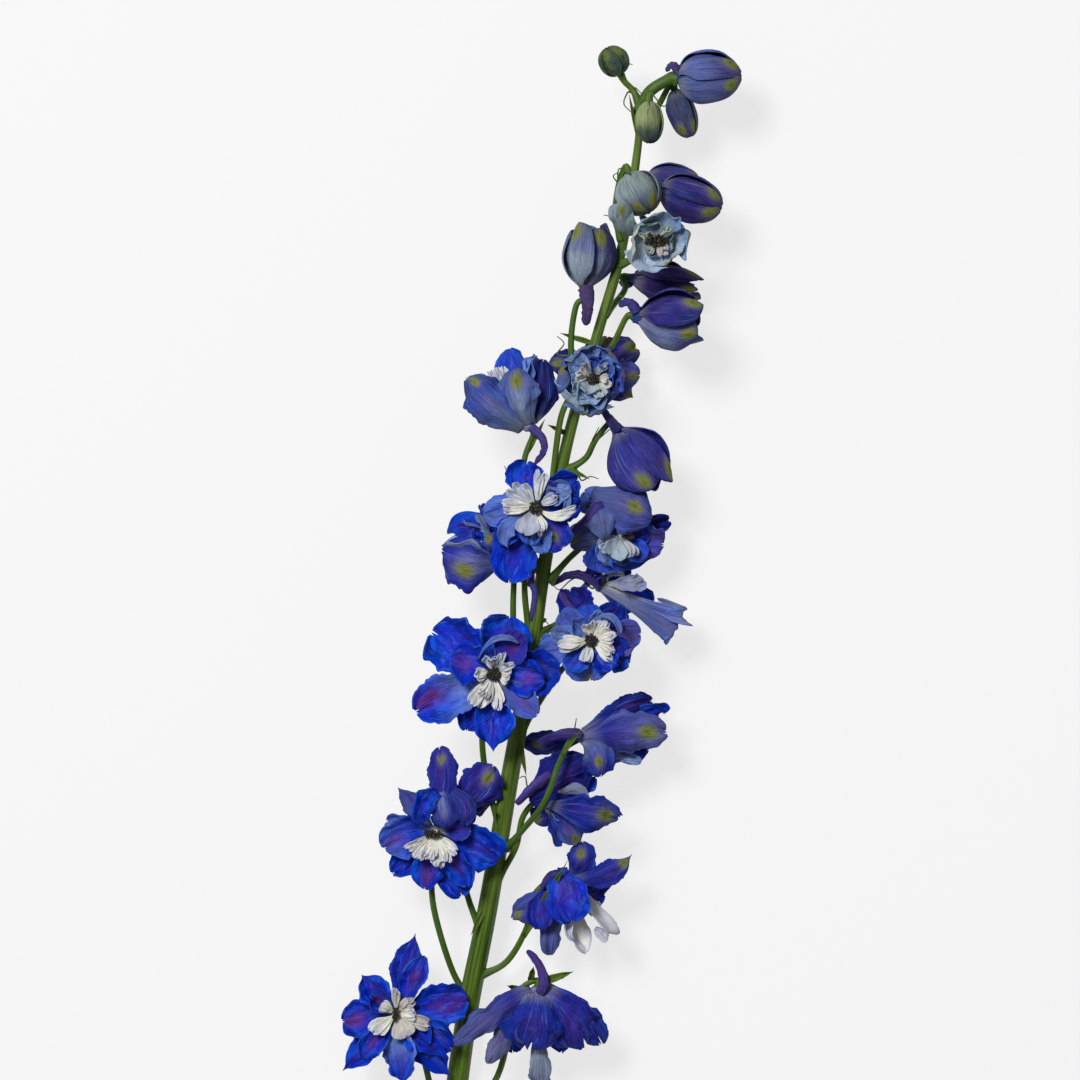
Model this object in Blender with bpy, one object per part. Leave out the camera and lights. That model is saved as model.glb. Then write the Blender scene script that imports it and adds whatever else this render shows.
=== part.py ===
"""A cut spike of delphinium that lies on a surface, as separate solids: one green stem with its
flower stalks and bracts, and for each bloom its blue sepals, its white bee and its dark stamens.

Written in millimetres and turned into metres when a mesh is made. +X is to the right of the
spike, +Y runs along the stem to its tip, +Z is up, and the surface is at Z = 0. The spike is
drawn with Y = 0 a little above its cut end, and MIDDLE then puts the origin under its middle.
"""
import math

import bmesh
import bpy
import numpy as np

MM = 0.001
MIDDLE = np.array([0.8, 181.0, 0.0])
GAP = 0.3

BLADE_THICKNESS = 0.7
CLAW = 0.12
BRACT_CLAW = 0.7
CLAW_FOOT = 2.2
BEE_FOOT = 1.1
SEPAL_CUP = 0.22
PETAL_CUP = 0.30
BEE_CUP = 0.35
# How far a blade bows, as a share of its length: towards the bloom's front where it lies flat,
# and outwards where it stands along the bloom's axis
SEPAL_BOW = (0.10, -0.24)
PETAL_BOW = (0.08, -0.22)
BEE_BOW = (0.10, -0.22)
BRACT_BOW = (0.10, 0.10)

# The least distance of a blade's tip from the bloom's axis
SEPAL_SPREAD = 9.0
PETAL_SPREAD = 7.5
BEE_SPREAD = 6.0

# The rows of a blade, from root to tip: the place along its length, and the places across it
LONG_ROWS = [(0.0, (-1, 1)), (0.38, (-1, 0, 1)), (0.76, (-1, 0, 1)), (1.0, (0,))]
SHORT_ROWS = [(0.0, (-1, 1)), (0.56, (-1, 0, 1)), (1.0, (0,))]
SLIM_ROWS = [(0.0, (-1, 1)), (0.6, (-1, 1)), (1.0, (0,))]

RECEPTACLE_BACK = 2.4
RECEPTACLE_FRONT = 1.4
RECEPTACLE_RADIUS = 2.8
BEE_CORE_LENGTH = 1.1
BEE_CORE_RADIUS = 1.5
STAMEN_LENGTH = 4.2
STAMEN_RADIUS = 1.1
STALK_RADIUS = 1.15
STALK_FOOT = 1.35
STALK_SIDES = 4
STALK_GAP = 0.5
FOOT_RADIUS = 1.0
SPUR_RADIUS = 1.6
SPUR_TIP = 0.6
SPUR_NECK = 0.7
# Where a spur starts and how it bends, in millimetres and as a share of its length
SPUR_FOOT = 3.0
SPUR_SINK = 1.0
SPUR_RISE = 3.0
SPUR_BEND = 0.45

# How far in front of a bloom's centre the sepals and the inner petals start
SEPAL_FORWARD = -0.3
PETAL_FORWARD = 0.9

# A half-open bloom: shares of its length and of its radius
YOUNG_SEPALS = 5
YOUNG_SIDE = [0.05, 0.1, 1.0]
YOUNG_UNEVEN = 0.07
YOUNG_WIDTH = 1.12
YOUNG_CUP = 0.30
YOUNG_GIRTH = 1.50
YOUNG_OVERLAP = 0.16
YOUNG_BELLY = 0.42
YOUNG_CORE = 0.80

# Each blade is bent clear of its neighbours in small steps
CLEARANCE = 0.95
STEM_CLEARANCE = 0.75
SPUR_CLEARANCE = 0.6
SETTLE_ROUNDS = 90
SURFACE_CLEARANCE = 1.6
LONGEST_STEP = 1.6
DEEP = 14.0

# The end of a flower stalk, where it meets its bloom
LAST_STRETCH = 3.5
LAST_STEP = 5.0
UP = np.array([0.0, 0.0, 1.0])
# The way a blade's inner side looks: up, or down, so that its outer side shows from above
INSIDE = np.array([0.05, 0.05, 1.0])
OUTSIDE = np.array([0.05, 0.05, -1.0])
BRACT_FACE = np.array([0.1, 0.1, 1.0])
BUD_SIDES = 10
BUD_RINGS = 7
BUD_RIBS = 5
BUD_RELIEF = 0.09
REST_BLADE_HEIGHT = 0.5 * BLADE_THICKNESS
LOW_BLADE_HEIGHT = 1.2

# Edges under these lengths are merged after a union, the first that leaves the body closed
SLIVERS = (0.45, 0.35, 0.25, 0.15, 0.08, 0.0)
FLAT = math.radians(0.5)

COLOURS = {
    "sepal_blue": ((0.030, 0.060, 0.520), 0.55),
    "young_blue": ((0.300, 0.400, 0.620), 0.55),
    "bud_violet": ((0.130, 0.140, 0.380), 0.60),
    "bee_white": ((0.800, 0.780, 0.700), 0.60),
    "stamen_brown": ((0.040, 0.030, 0.020), 0.70),
    "stem_green": ((0.090, 0.190, 0.030), 0.50),
}

# The stem's middle line: x, y, height above the surface and radius, from the cut end to the tip
STEM = [
    (-40.0, -52.0, 3.9, 4.4),
    (-35.2, -16.0, 8.0, 4.4),
    (-29.2, 26.4, 13.0, 4.2),
    (-21.2, 67.2, 18.0, 3.9),
    (-12.4, 119.2, 22.5, 3.6),
    (-4.8, 162.0, 25.5, 3.3),
    (1.2, 202.4, 27.5, 2.8),
    (10.4, 252.8, 29.0, 2.4),
    (22.8, 297.6, 30.0, 2.1),
    (32.4, 331.2, 30.5, 2.0),
    (38.8, 370.4, 31.0, 1.6),
    (40.4, 391.0, 31.5, 1.3),
]
STEM_MIDDLE = np.array([-4.8, 162.0, 25.5])


def unit(vector):
    vector = np.asarray(vector, dtype=float)
    return vector / np.linalg.norm(vector)


def units(vectors):
    return vectors / np.linalg.norm(vectors, axis=1, keepdims=True)


def smooth_path(points, count):
    """Points evenly spread in parameter on a Catmull-Rom curve through the given points."""
    points = np.asarray(points, dtype=float)
    padded = np.vstack([2 * points[0] - points[1], points, 2 * points[-1] - points[-2]])
    out = []
    for place in np.linspace(0.0, len(points) - 1.0, count):
        i = min(int(place), len(points) - 2)
        t = place - i
        a, b, c, d = padded[i:i + 4]
        out.append(0.5 * (2 * b + (c - a) * t + (2 * a - 5 * b + 4 * c - d) * t ** 2
                          + (3 * b - a - 3 * c + d) * t ** 3))
    return np.array(out)


STEM_LINE = smooth_path(STEM, 200)


def stem_height(y):
    return float(np.interp(y, STEM_LINE[:, 1], STEM_LINE[:, 2]))


class Blade:
    """A sepal or petal: a quadratic middle line with a width, cupped across."""

    def __init__(self, node, base, tip, axis, width, bow, cup, rows=LONG_ROWS, claw=CLAW,
                 rests=False):
        self.node = node
        self.root = np.asarray(base, dtype=float)
        self.tip = np.asarray(tip, dtype=float)
        along = self.tip - self.root
        self.length = np.linalg.norm(along)
        self.turn_to(axis)
        steep = max(0.0, float(np.dot(along / self.length, axis)))
        lift = bow[0] + (bow[1] - bow[0]) * steep
        self.middle = self.root + 0.45 * along + lift * self.length * self.face
        self.rows = rows
        self.width = width
        self.cup = cup
        self.claw = claw
        self.rests = rests

    def turn_to(self, way):
        """Turns the inner side as far to the given way as the blade's run allows."""
        direction = unit(self.tip - self.root)
        face = way - np.dot(way, direction) * direction
        if np.linalg.norm(face) < 0.05:
            face = UP - direction[2] * direction
        self.face = unit(face)
        self.side = np.cross(direction, self.face)

    def pass_through(self, place):
        """Bends the middle line so that it is at the given place halfway."""
        self.middle = 2 * place - 0.5 * (self.root + self.tip)

    def frame(self, t):
        """Points of the middle line, and the ways to the side and to the inner side there."""
        line = (1 - t) ** 2 * self.root + 2 * t * (1 - t) * self.middle + t ** 2 * self.tip
        run = units((1 - t) * (self.middle - self.root) + t * (self.tip - self.middle))
        side = units(self.side - (run @ self.side)[:, None] * run)
        return line, side, np.cross(side, run)

    def outline(self, t):
        """Half width over the greatest half width: a narrow claw, then a rounded tip."""
        rise = np.clip(t / 0.6, 0.0, 1.0)
        grown = self.claw + (1 - self.claw) * rise * rise * (3 - 2 * rise)
        fall = np.clip((t - 0.6) / 0.4, 0.0, 1.0)
        return grown * np.sqrt(1 - fall ** 2.4)

    def place(self, t, s):
        """Points of the blade's middle surface and its normals there, for arrays t and s."""
        t, s = np.asarray(t, dtype=float)[:, None], np.asarray(s, dtype=float)[:, None]
        line, side, up = self.frame(t)
        half = 0.5 * self.width * self.outline(t)
        points = line + side * half * s + up * self.cup * half * s * s
        normals = units(up - 2 * self.cup * s * side)
        if self.rests:
            on_surface = points[:, 2] < REST_BLADE_HEIGHT
            points[on_surface, 2] = REST_BLADE_HEIGHT
            normals[on_surface] = UP * np.where(normals[on_surface, 2:] < 0, -1.0, 1.0)
        else:
            points[:, 2] = np.maximum(points[:, 2], LOW_BLADE_HEIGHT)
        return points, normals

    def mesh(self):
        times, sides, index = [], [], []
        for t, across in self.rows:
            index.append(list(range(len(times), len(times) + len(across))))
            times += [t] * len(across)
            sides += across
        middle, normals = self.place(times, sides)
        front = middle + 0.5 * BLADE_THICKNESS * normals
        back = middle - 0.5 * BLADE_THICKNESS * normals
        faces = []
        for low, high in zip(index, index[1:]):
            faces += strip(low, high)
        count = len(front)
        rim = index[0] + [row[-1] for row in index[1:]] + [row[0] for row in index[-2:0:-1]]
        triangles = [(a, b, c) for a, b, c in faces]
        triangles += [(c + count, b + count, a + count) for a, b, c in faces]
        for a, b in zip(rim, rim[1:] + rim[:1]):
            triangles += [(b, a, a + count), (b, a + count, b + count)]
        points = np.vstack([front, back])
        points[:, 2] = np.maximum(points[:, 2], 0.0)
        return points, triangles


def strip(low, high):
    """Triangles between two rows of a blade, alike to the left and to the right."""
    if len(high) == 1:
        return [(a, b, high[0]) for a, b in zip(low, low[1:])]
    if len(low) == 2 and len(high) == 2:
        return [(low[0], low[1], high[1]), (low[0], high[1], high[0])]
    if len(low) == 2:
        return [(low[0], low[1], high[1]), (low[0], high[1], high[0]), (low[1], high[2], high[1])]
    return [(low[0], low[1], high[0]), (low[1], high[1], high[0]),
            (low[1], low[2], high[2]), (low[1], high[2], high[1])]


def tube(line, radii, sides, lobes=0, relief=0.0, turn=0.0):
    """A closed tube along a line, with a fan at each end; lobes raise ribs along it."""
    line = np.asarray(line, dtype=float)
    runs = np.gradient(line, axis=0)
    across = np.cross(unit(runs[0]), [0.0, 0.0, 1.0])
    if np.linalg.norm(across) < 0.2:
        across = np.cross(unit(runs[0]), [0.0, 1.0, 0.0])
    points, faces = [], []
    for centre, run, radius in zip(line, runs, radii):
        run = unit(run)
        across = unit(across - np.dot(across, run) * run)
        other = np.cross(run, across)
        for k in range(sides):
            angle = 2 * math.pi * k / sides + turn
            reach = radius * (1 + relief * math.cos(lobes * (angle - turn)))
            points.append(centre + reach * (math.cos(angle) * across + math.sin(angle) * other))
    for row in range(len(line) - 1):
        for k in range(sides):
            a, b = row * sides + k, row * sides + (k + 1) % sides
            faces += [(a, b, b + sides), (a, b + sides, a + sides)]
    first, last = len(points), len(points) + 1
    points += [line[0], line[-1]]
    top = (len(line) - 1) * sides
    for k in range(sides):
        faces.append((first, (k + 1) % sides, k))
        faces.append((last, top + k, top + (k + 1) % sides))
    return np.array(points), faces


def spindle(start, end, radius, sides, rings, lobes=0, relief=0.0, belly=0.45, ends=0.35):
    """A closed rounded body from start to end, widest at belly."""
    start, end = np.asarray(start, dtype=float), np.asarray(end, dtype=float)
    places = np.linspace(0.0, 1.0, rings)
    line = [start + (end - start) * p for p in places]
    radii = []
    for p in places:
        away = (p - belly) / (belly if p < belly else 1 - belly)
        radii.append(radius * max(ends, math.sqrt(max(0.0, 1 - abs(away) ** 2.2))))
    return tube(line, radii, sides, lobes, relief)


class Bloom:
    """One bloom: its centre, the way it faces, and its blades, spur and stalk."""

    def __init__(self, name, centre, faces, stalk, spur=None, spur_via=None, spur_from=None,
                 spur_radius=SPUR_RADIUS, stalk_radius=STALK_RADIUS):
        self.name = name
        self.centre = np.array(centre, dtype=float)
        self.axis = unit(faces)
        self.stalk = stalk
        self.stalk_radius = stalk_radius
        self.spur = spur
        self.spur_via = spur_via
        self.spur_from = spur_from
        self.spur_radius = spur_radius
        self.blades = []
        self.bodies = {}

    def at(self, place):
        """A place whose height is given from the bloom's centre."""
        return np.array([place[0], place[1], self.centre[2] + place[2]])

    def add(self, node, tips, forward, foot, spread, bow, cup, rows, rests=()):
        """Blades from the bloom's middle to the given tips, each held clear of the axis."""
        for number, (x, y, rise, width, form) in enumerate(tips):
            tip = self.at((x, y, rise))
            via = self.at(form["via"]) if "via" in form else None
            away = (tip if via is None else via) - self.centre
            away -= np.dot(away, self.axis) * self.axis
            short = spread - np.linalg.norm(away)
            if short > 0 and via is None:
                tip += short * unit(away)
            base = self.centre + forward * self.axis + foot * unit(away)
            if "root" in form:
                # a blade that starts away from the middle is held by a thin foot
                base = self.at(form["root"])
                self.body(node, tube([self.centre, base], [FOOT_RADIUS, FOOT_RADIUS], 4))
            lies = number in rests
            blade = Blade(node, base, tip, self.axis, width, bow,
                          0.0 if lies else form.get("cup", cup), rows, form.get("claw", CLAW), lies)
            if "face" in form:
                blade.turn_to(form["face"])
            if via is not None:
                blade.pass_through(via)
            self.blades.append(blade)

    def body(self, node, mesh):
        self.bodies.setdefault(node, []).append(mesh)

    def add_receptacle(self, node):
        back = self.centre - RECEPTACLE_BACK * self.axis
        front = self.centre + RECEPTACLE_FRONT * self.axis
        self.body(node, spindle(back, front, RECEPTACLE_RADIUS, 6, 3, ends=0.85))

    def add_spur(self, node):
        if self.spur:
            line = self.spur_line()
            self.body(node, tube(line, self.spur_radii(line), 5))

    def spur_radii(self, line):
        wide = [SPUR_NECK * self.spur_radius, self.spur_radius, SPUR_TIP]
        return np.interp(np.linspace(0.0, 1.0, len(line)), [0.0, 0.35, 1.0], wide)

    def back(self):
        return self.centre - (RECEPTACLE_BACK + STALK_GAP) * self.axis

    def spur_line(self):
        """The spur's middle line: from behind the sepals, round a bend, to its end."""
        end = np.array(self.spur, dtype=float)
        stops = [np.array(stop, dtype=float) for stop in (self.spur_from, self.spur_via) if stop]
        away = (stops + [end])[0] - self.centre
        away -= np.dot(away, self.axis) * self.axis
        start = self.centre + SPUR_FOOT * unit(away) - SPUR_SINK * self.axis
        if not stops:
            stops = [start + SPUR_BEND * (end - start) + SPUR_RISE * unit(away)]
        return smooth_path([start] + stops + [end], 2 + 2 * len(stops))


def reach(x, y, rise, width, **form):
    """A blade's tip, seen from above, its height over the bloom's centre, its width and form."""
    return x, y, rise, width, form


def open_bloom(name, centre, faces, stalk, sepals, petals=(), bee=(), stamens=True, rests=(),
               **spur):
    """A bloom whose inner parts show: sepals and blue petals, the white bee and the stamens."""
    bloom = Bloom(name, centre, faces, stalk, **spur)
    axis, middle = bloom.axis, bloom.centre
    node, bee_node = f"{name}_sepals", f"{name}_bee"
    bloom.add_receptacle(node)
    bloom.add(node, sepals, SEPAL_FORWARD, CLAW_FOOT, SEPAL_SPREAD, SEPAL_BOW, SEPAL_CUP, LONG_ROWS,
              rests)
    bloom.add(node, petals, PETAL_FORWARD, CLAW_FOOT, PETAL_SPREAD, PETAL_BOW, PETAL_CUP,
              SHORT_ROWS)
    bloom.add_spur(node)
    bee_back = RECEPTACLE_FRONT + GAP
    bee_front = bee_back + BEE_CORE_LENGTH
    if bee:
        bloom.body(bee_node, spindle(middle + bee_back * axis, middle + bee_front * axis,
                                     BEE_CORE_RADIUS, 6, 2, ends=0.9))
        bloom.add(bee_node, bee, 0.5 * (bee_back + bee_front), BEE_FOOT, BEE_SPREAD, BEE_BOW,
                  BEE_CUP, SLIM_ROWS)
    if stamens:
        start = bee_front + GAP
        bloom.body(f"{name}_stamens",
                   spindle(middle + start * axis, middle + (start + STAMEN_LENGTH) * axis,
                           STAMEN_RADIUS, 8, 3, lobes=4, relief=0.22, belly=0.7, ends=0.55))
    return bloom


def turned_away(name, centre, faces, stalk, sepals, **spur):
    """A bloom that shows only the backs of its sepals: one node, with nothing pale inside."""
    bloom = Bloom(name, centre, faces, stalk, **spur)
    bloom.add_receptacle(name)
    bloom.add(name, sepals, SEPAL_FORWARD, CLAW_FOOT, SEPAL_SPREAD, SEPAL_BOW, SEPAL_CUP, LONG_ROWS)
    bloom.add_spur(name)
    return bloom


def young_bloom(name, base, tip, radius, stalk, flare=0.25, spur=None, turn=0.0, **form):
    """A bloom still half closed: five sepals round a core, all in one body."""
    base, tip = np.array(base, dtype=float), np.array(tip, dtype=float)
    axis = unit(tip - base)
    length = np.linalg.norm(tip - base)
    bloom = Bloom(name, base, axis, stalk, spur, **form)
    side = unit(np.cross(axis, YOUNG_SIDE))
    other = np.cross(axis, side)
    for k in range(YOUNG_SEPALS):
        angle = 2 * math.pi * (k + turn) / YOUNG_SEPALS
        out = math.cos(angle) * side + math.sin(angle) * other
        far = length * (1.0 - YOUNG_UNEVEN * (k % 3))
        end = base + far * axis + (flare * radius) * out
        root = base + CLAW_FOOT * out
        blade = Blade(name, root, end, axis, YOUNG_WIDTH * radius, SEPAL_BOW, YOUNG_CUP)
        blade.turn_to(-out)
        girth = YOUNG_GIRTH + YOUNG_OVERLAP * (k % 2)
        blade.middle = base + YOUNG_BELLY * length * axis + girth * radius * out
        bloom.blades.append(blade)
    bloom.body(name, spindle(base - RECEPTACLE_BACK * axis, base + YOUNG_CORE * length * axis,
                             0.60 * radius, 6, 4, ends=0.4, belly=0.55))
    bloom.add_spur(name)
    return bloom


def bud(name, base, tip, radius, stalk, spur=None, **form):
    """A closed bud: one body with the five sepals raised as ribs."""
    base, tip = np.array(base, dtype=float), np.array(tip, dtype=float)
    bloom = Bloom(name, base, tip - base, stalk, spur, **form)
    bloom.body(name, spindle(base - RECEPTACLE_BACK * bloom.axis, tip, radius, BUD_SIDES, BUD_RINGS,
                             lobes=BUD_RIBS, relief=BUD_RELIEF, belly=0.5, ends=0.2))
    bloom.add_spur(name)
    return bloom


BLOOMS = [
    bud("bud_1", (31.6, 403.6, 33), (26.6, 412.6, 35.5), 5.7,
        [(40.3, 389.0), (37.5, 395.5), (34.0, 400.5)]),
    bud("bud_2", (43.6, 389.6, 39.5), (44.0, 374.4, 41), 5.3, [(40.3, 388.0), (41.4, 392.6)]),
    bud("bud_3", (56.5, 400.6, 35), (80.4, 401.8, 36), 10.2,
        [(40.2, 386.0), (43.5, 395.0), (49.0, 400.4)], spur=(50.4, 403.4, 37), stalk_radius=2.2),
    bud("bud_4", (54.4, 395.4, 25), (60.4, 378.0, 24), 5.4,
        [(39.8, 380.0), (46.5, 388.5), (52.0, 396.5)]),
    bud("bud_5", (36.2, 360.6, 43.5), (43.4, 346.4, 46.5), 8.4,
        [(32.8, 336.0), (30.2, 346.0), (31.2, 357.0)]),
    bud("bud_6", (44.6, 361.6, 24), (64.2, 359.2, 23), 6.3, [(37.6, 362.0), (40.6, 362.6)]),
    bud("bud_7", (49.6, 355.8, 36), (72.4, 348.6, 38), 8.9, [(37.2, 354.5), (43.0, 356.4)]),
    young_bloom("young_1", (18.0, 317.6, 33), (20.2, 343.0, 36), 9.6,
                [(16.2, 272.0), (12.4, 292.0), (14.2, 309.0)], 0.62, (18.2, 302.0, 37), 0.2,
                spur_radius=3.1),
    young_bloom("young_2", (38.0, 321.4, 17), (63.6, 318.0, 16), 7.4, [(25.6, 306.0), (34.0, 316.5)],
                0.45, (32.4, 320.4, 14), 0.1),
    young_bloom("young_3", (39.4, 304.8, 38), (64.0, 304.0, 40), 9.6,
                [(19.4, 285.0), (28.0, 292.5), (34.4, 301.0)], 0.8, (31.6, 309.4, 40), 0.35,
                spur_radius=2.3),
    turned_away("young_4", (24.0, 284.6, 15), (0.15, -0.1, -1.0), [(18.4, 281.0)],
                [reach(3.4, 287.0, 4, 12, via=(13, 287, 6), face=OUTSIDE),
                 reach(27.0, 298.6, 3, 14, via=(25, 292, 5), face=OUTSIDE),
                 reach(39.4, 293.6, 2, 15, via=(32, 290, 5), face=OUTSIDE),
                 reach(40.0, 282.4, 3, 15, via=(33, 282, 6), face=OUTSIDE),
                 reach(38.0, 273.0, 1, 10, via=(32, 277, 3), face=OUTSIDE)]),
    young_bloom("young_5", (31.4, 259.6, 33), (47.6, 236.4, 36), 10.4,
                [(8.6, 243.0), (18.0, 248.6), (22.4, 256.4)], 0.62, (24.6, 268.6, 38), 0.15,
                spur_radius=2.3),
    turned_away("young_6", (-33.0, 106.6, 21), (0.3, 0.85, -0.4),
                [(-23.4, 57.0), (-29.0, 72.0), (-33.0, 90.0)],
                [reach(-18.6, 126.0, 3, 18, via=(-25, 116, 7), face=OUTSIDE),
                 reach(-29.4, 118.6, 2, 8, via=(-31, 113, 5), face=OUTSIDE),
                 reach(-20.0, 110.6, -1, 12, via=(-26, 110, 1), face=OUTSIDE),
                 reach(-36.0, 96.0, -6, 12, face=INSIDE)]),
    open_bloom("floret_01", (46.0, 335.6, 46), (0.05, -0.15, 1.0), [(31.0, 326.0), (38.0, 329.0)],
               [reach(48.8, 343.6, 8, 15, via=(48.6, 343.0, 2), claw=0.2),
                reach(56.4, 339.0, 7, 15, via=(55.4, 337.0, 1), claw=0.2),
                reach(51.0, 328.0, 6, 15, via=(51.0, 328.6, 1), claw=0.2),
                reach(42.0, 325.0, 7, 14, via=(42.0, 327.6, 2), claw=0.2),
                reach(38.4, 335.6, 8, 18, via=(38.0, 335.0, 2), claw=0.2),
                reach(33.6, 350.6, 0, 9, root=(38.0, 338.0, -3), via=(33.0, 343.4, 2), face=OUTSIDE,
                      claw=0.2)],
               petals=[reach(41.0, 343.0, 8, 9, via=(42.0, 340.0, 4)), reach(54.6, 333.0, 7, 8)],
               bee=[reach(39.6, 337.6, 7, 5), reach(51.8, 341.6, 7, 5), reach(42.4, 329.4, 7, 4),
                    reach(49.8, 329.6, 6, 6)],
               spur=(41.0, 345.0, 33)),
    open_bloom("floret_02", (21.4, 280.6, 46), (-0.05, -0.1, 1.0),
               [(3.6, 226.0), (5.4, 244.0), (8.6, 266.0), (15.0, 276.6)],
               [reach(9.4, 284.4, 9, 14, via=(8.4, 282.0, 2), claw=0.2),
                reach(12.6, 271.8, 9, 19, via=(11.8, 271.6, 2), claw=0.2),
                reach(19.8, 265.6, 7, 19, via=(19.0, 267.4, 1), claw=0.2),
                reach(29.0, 272.0, 6, 16, via=(28.4, 272.4, 0), claw=0.2),
                reach(32.0, 283.0, 8, 14, via=(31.4, 281.6, 1), claw=0.2),
                reach(27.0, 291.0, 8, 13, via=(27.0, 289.6, 1), claw=0.2),
                reach(15.6, 291.6, 8, 17, via=(16.4, 290.0, 2), claw=0.2)],
               petals=[reach(13.0, 274.6, 8, 8)],
               bee=[reach(14.2, 281.4, 7, 6), reach(18.4, 273.6, 6, 9), reach(28.4, 281.6, 7, 10),
                    reach(24.6, 273.0, 6, 7)],
               spur=(28.0, 293.0, 36)),
    open_bloom("floret_03", (-5.0, 262.4, 34), (-0.45, 0.8, 0.3),
               [(-0.6, 203.0), (-5.6, 222.0), (-6.6, 246.0)],
               [reach(-11.0, 284.4, 8, 18, via=(-8.4, 272.0, 11), face=OUTSIDE, claw=0.2),
                reach(-28.4, 275.6, 5, 15, via=(-18.0, 266.6, 11), face=OUTSIDE, claw=0.2),
                reach(1.2, 288.0, 0, 12, via=(0.8, 273.0, 4), face=OUTSIDE, claw=0.2),
                reach(-11.6, 293.0, -3, 15, via=(-9.0, 279.0, -2), claw=0.2),
                reach(-29.8, 281.6, -2, 15, via=(-19.0, 274.0, -1), claw=0.2),
                reach(-2.0, 290.6, -7, 12, via=(-3.0, 277.0, -5))],
               petals=[reach(-2.6, 290.4, 0, 8, via=(-4.0, 278.0, 2))],
               bee=[reach(-17.6, 286.4, 0, 8, via=(-13.0, 274.6, -1.5)),
                    reach(-22.6, 281.6, 0, 7, via=(-15.0, 272.0, 0))],
               spur=(-2.0, 246.4, 37), spur_via=(2.2, 254.0, 38)),
    open_bloom("floret_04", (-1.6, 229.2, 50), (0.0, -0.05, 1.0),
               [(-4.2, 171.0), (-5.2, 184.0), (-6.2, 200.0), (-3.6, 218.0)],
               [reach(-5.0, 247.4, -2, 15, via=(-5.6, 239.0, -1)), reach(15.6, 240.4, -2, 14),
                reach(15.8, 229.6, -4, 13), reach(9.4, 212.6, -3, 14),
                reach(-12.0, 198.6, -5, 20, via=(-9.0, 214.0, -4)), reach(-22.0, 227.0, -2, 13)],
               petals=[reach(-17.4, 215.0, 2, 11), reach(-12.6, 212.2, 5, 7, via=(-13.0, 220.6, 6)),
                       reach(-4.4, 213.6, 3, 9)],
               bee=[reach(-15.4, 229.2, 6, 7), reach(-12.6, 237.6, 5, 7), reach(0.8, 244.2, 7, 8),
                    reach(14.2, 228.0, 6, 6, via=(6.0, 225.6, 6)), reach(-6.6, 219.0, 4, 9)],
               spur=(-3.5, 183.6, 41), spur_via=(-2.0, 194.0, 42), spur_from=(-3.6, 203.0, 40),
               spur_radius=1.7),
    open_bloom("floret_05", (-15.0, 209.4, 32), (-0.85, 0.35, 0.0),
               [(-7.4, 150.0), (-10.4, 174.0), (-10.8, 190.0), (-9.6, 203.0)],
               [reach(-39.4, 212.0, 4, 24, via=(-27.0, 206.8, 10), face=OUTSIDE, claw=0.2),
                reach(-21.6, 218.6, 8, 11, via=(-18.6, 213.4, 9), face=OUTSIDE, claw=0.2),
                reach(-22.0, 231.0, -6, 16, via=(-18.6, 221.0, -4), claw=0.2),
                reach(-37.6, 219.0, -3, 15, via=(-24.6, 220.4, -2), claw=0.2),
                reach(-27.0, 206.0, -43.0, 15)],
               petals=[reach(-39.0, 214.6, 1, 11, via=(-27.6, 212.6, 6)),
                       reach(-25.4, 226.0, 0, 9, via=(-20.0, 219.0, 3))],
               bee=[reach(-29.0, 214.0, -5, 7), reach(-27.0, 208.0, -7, 7)],
               stamens=False, rests=(4,)),
    open_bloom("floret_06", (32.4, 218.0, 31), (0.2, -0.15, 1.0),
               [(3.2, 199.0), (12.0, 209.0), (22.0, 217.0)],
               [reach(44.0, 224.6, 6, 20, root=(20.0, 233.0, 0), via=(33.0, 229.0, 9), face=OUTSIDE,
                      claw=0.2),
                reach(26.0, 217.6, 7, 14, root=(23.0, 232.0, 1), via=(25.0, 225.0, 9), face=OUTSIDE,
                      claw=0.2),
                reach(17.4, 236.0, -4, 13, via=(24.0, 229.0, -2), claw=0.2),
                reach(11.0, 214.0, -3, 14, via=(20.0, 218.0, 0), face=OUTSIDE, claw=0.2),
                reach(24.6, 202.0, -6, 19, via=(26.0, 209.0, -5)),
                reach(35.0, 203.6, -3, 16, via=(34.0, 210.0, -2)), reach(49.8, 214.0, -3, 15),
                reach(52.2, 224.0, -5, 10)],
               bee=[reach(28.6, 208.8, 6, 10), reach(37.4, 208.4, 4, 7), reach(24.0, 213.0, 5, 6)],
               spur=(11.6, 218.6, 34), spur_via=(18.0, 223.0, 37), spur_from=(24.0, 229.4, 36),
               spur_radius=2.8),
    open_bloom("floret_07", (25.0, 197.6, 16), (0.85, -0.35, 0.15),
               [(-1.0, 178.0), (9.0, 184.0), (14.4, 193.0), (20.0, 199.6)],
               [reach(37.4, 199.6, 5, 13, via=(30.0, 199.4, 8), face=OUTSIDE),
                reach(42.6, 187.0, 6, 15, via=(32.0, 190.6, 9), face=OUTSIDE),
                reach(36.4, 181.4, 2, 13, via=(31.0, 188.4, 3)), reach(45.0, 190.0, -28.0, 15),
                reach(38.0, 205.0, -6, 13)],
               bee=[reach(42.0, 191.6, 2, 7), reach(43.6, 196.4, 2, 7)],
               stamens=False, spur=(4.6, 198.0, 21), spur_via=(14.0, 202.4, 24), spur_radius=2.2,
               rests=(3,)),
    open_bloom("floret_08", (20.4, 175.8, 43), (0.0, 0.05, 1.0),
               [(-8.4, 138.0), (-1.0, 150.0), (7.0, 162.0), (15.6, 171.4)],
               [reach(-2.0, 170.4, -2, 13), reach(20.0, 159.4, -1, 20, via=(19.0, 168.0, 0)),
                reach(35.6, 166.6, -3, 13), reach(40.2, 178.6, -3, 14), reach(31.6, 190.2, -4, 13),
                reach(18.8, 190.6, -3, 11), reach(8.4, 186.6, -4, 11), reach(11.6, 196.4, -16, 15)],
               petals=[reach(11.6, 164.0, 3, 11), reach(35.0, 172.6, 2, 9)],
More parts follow.
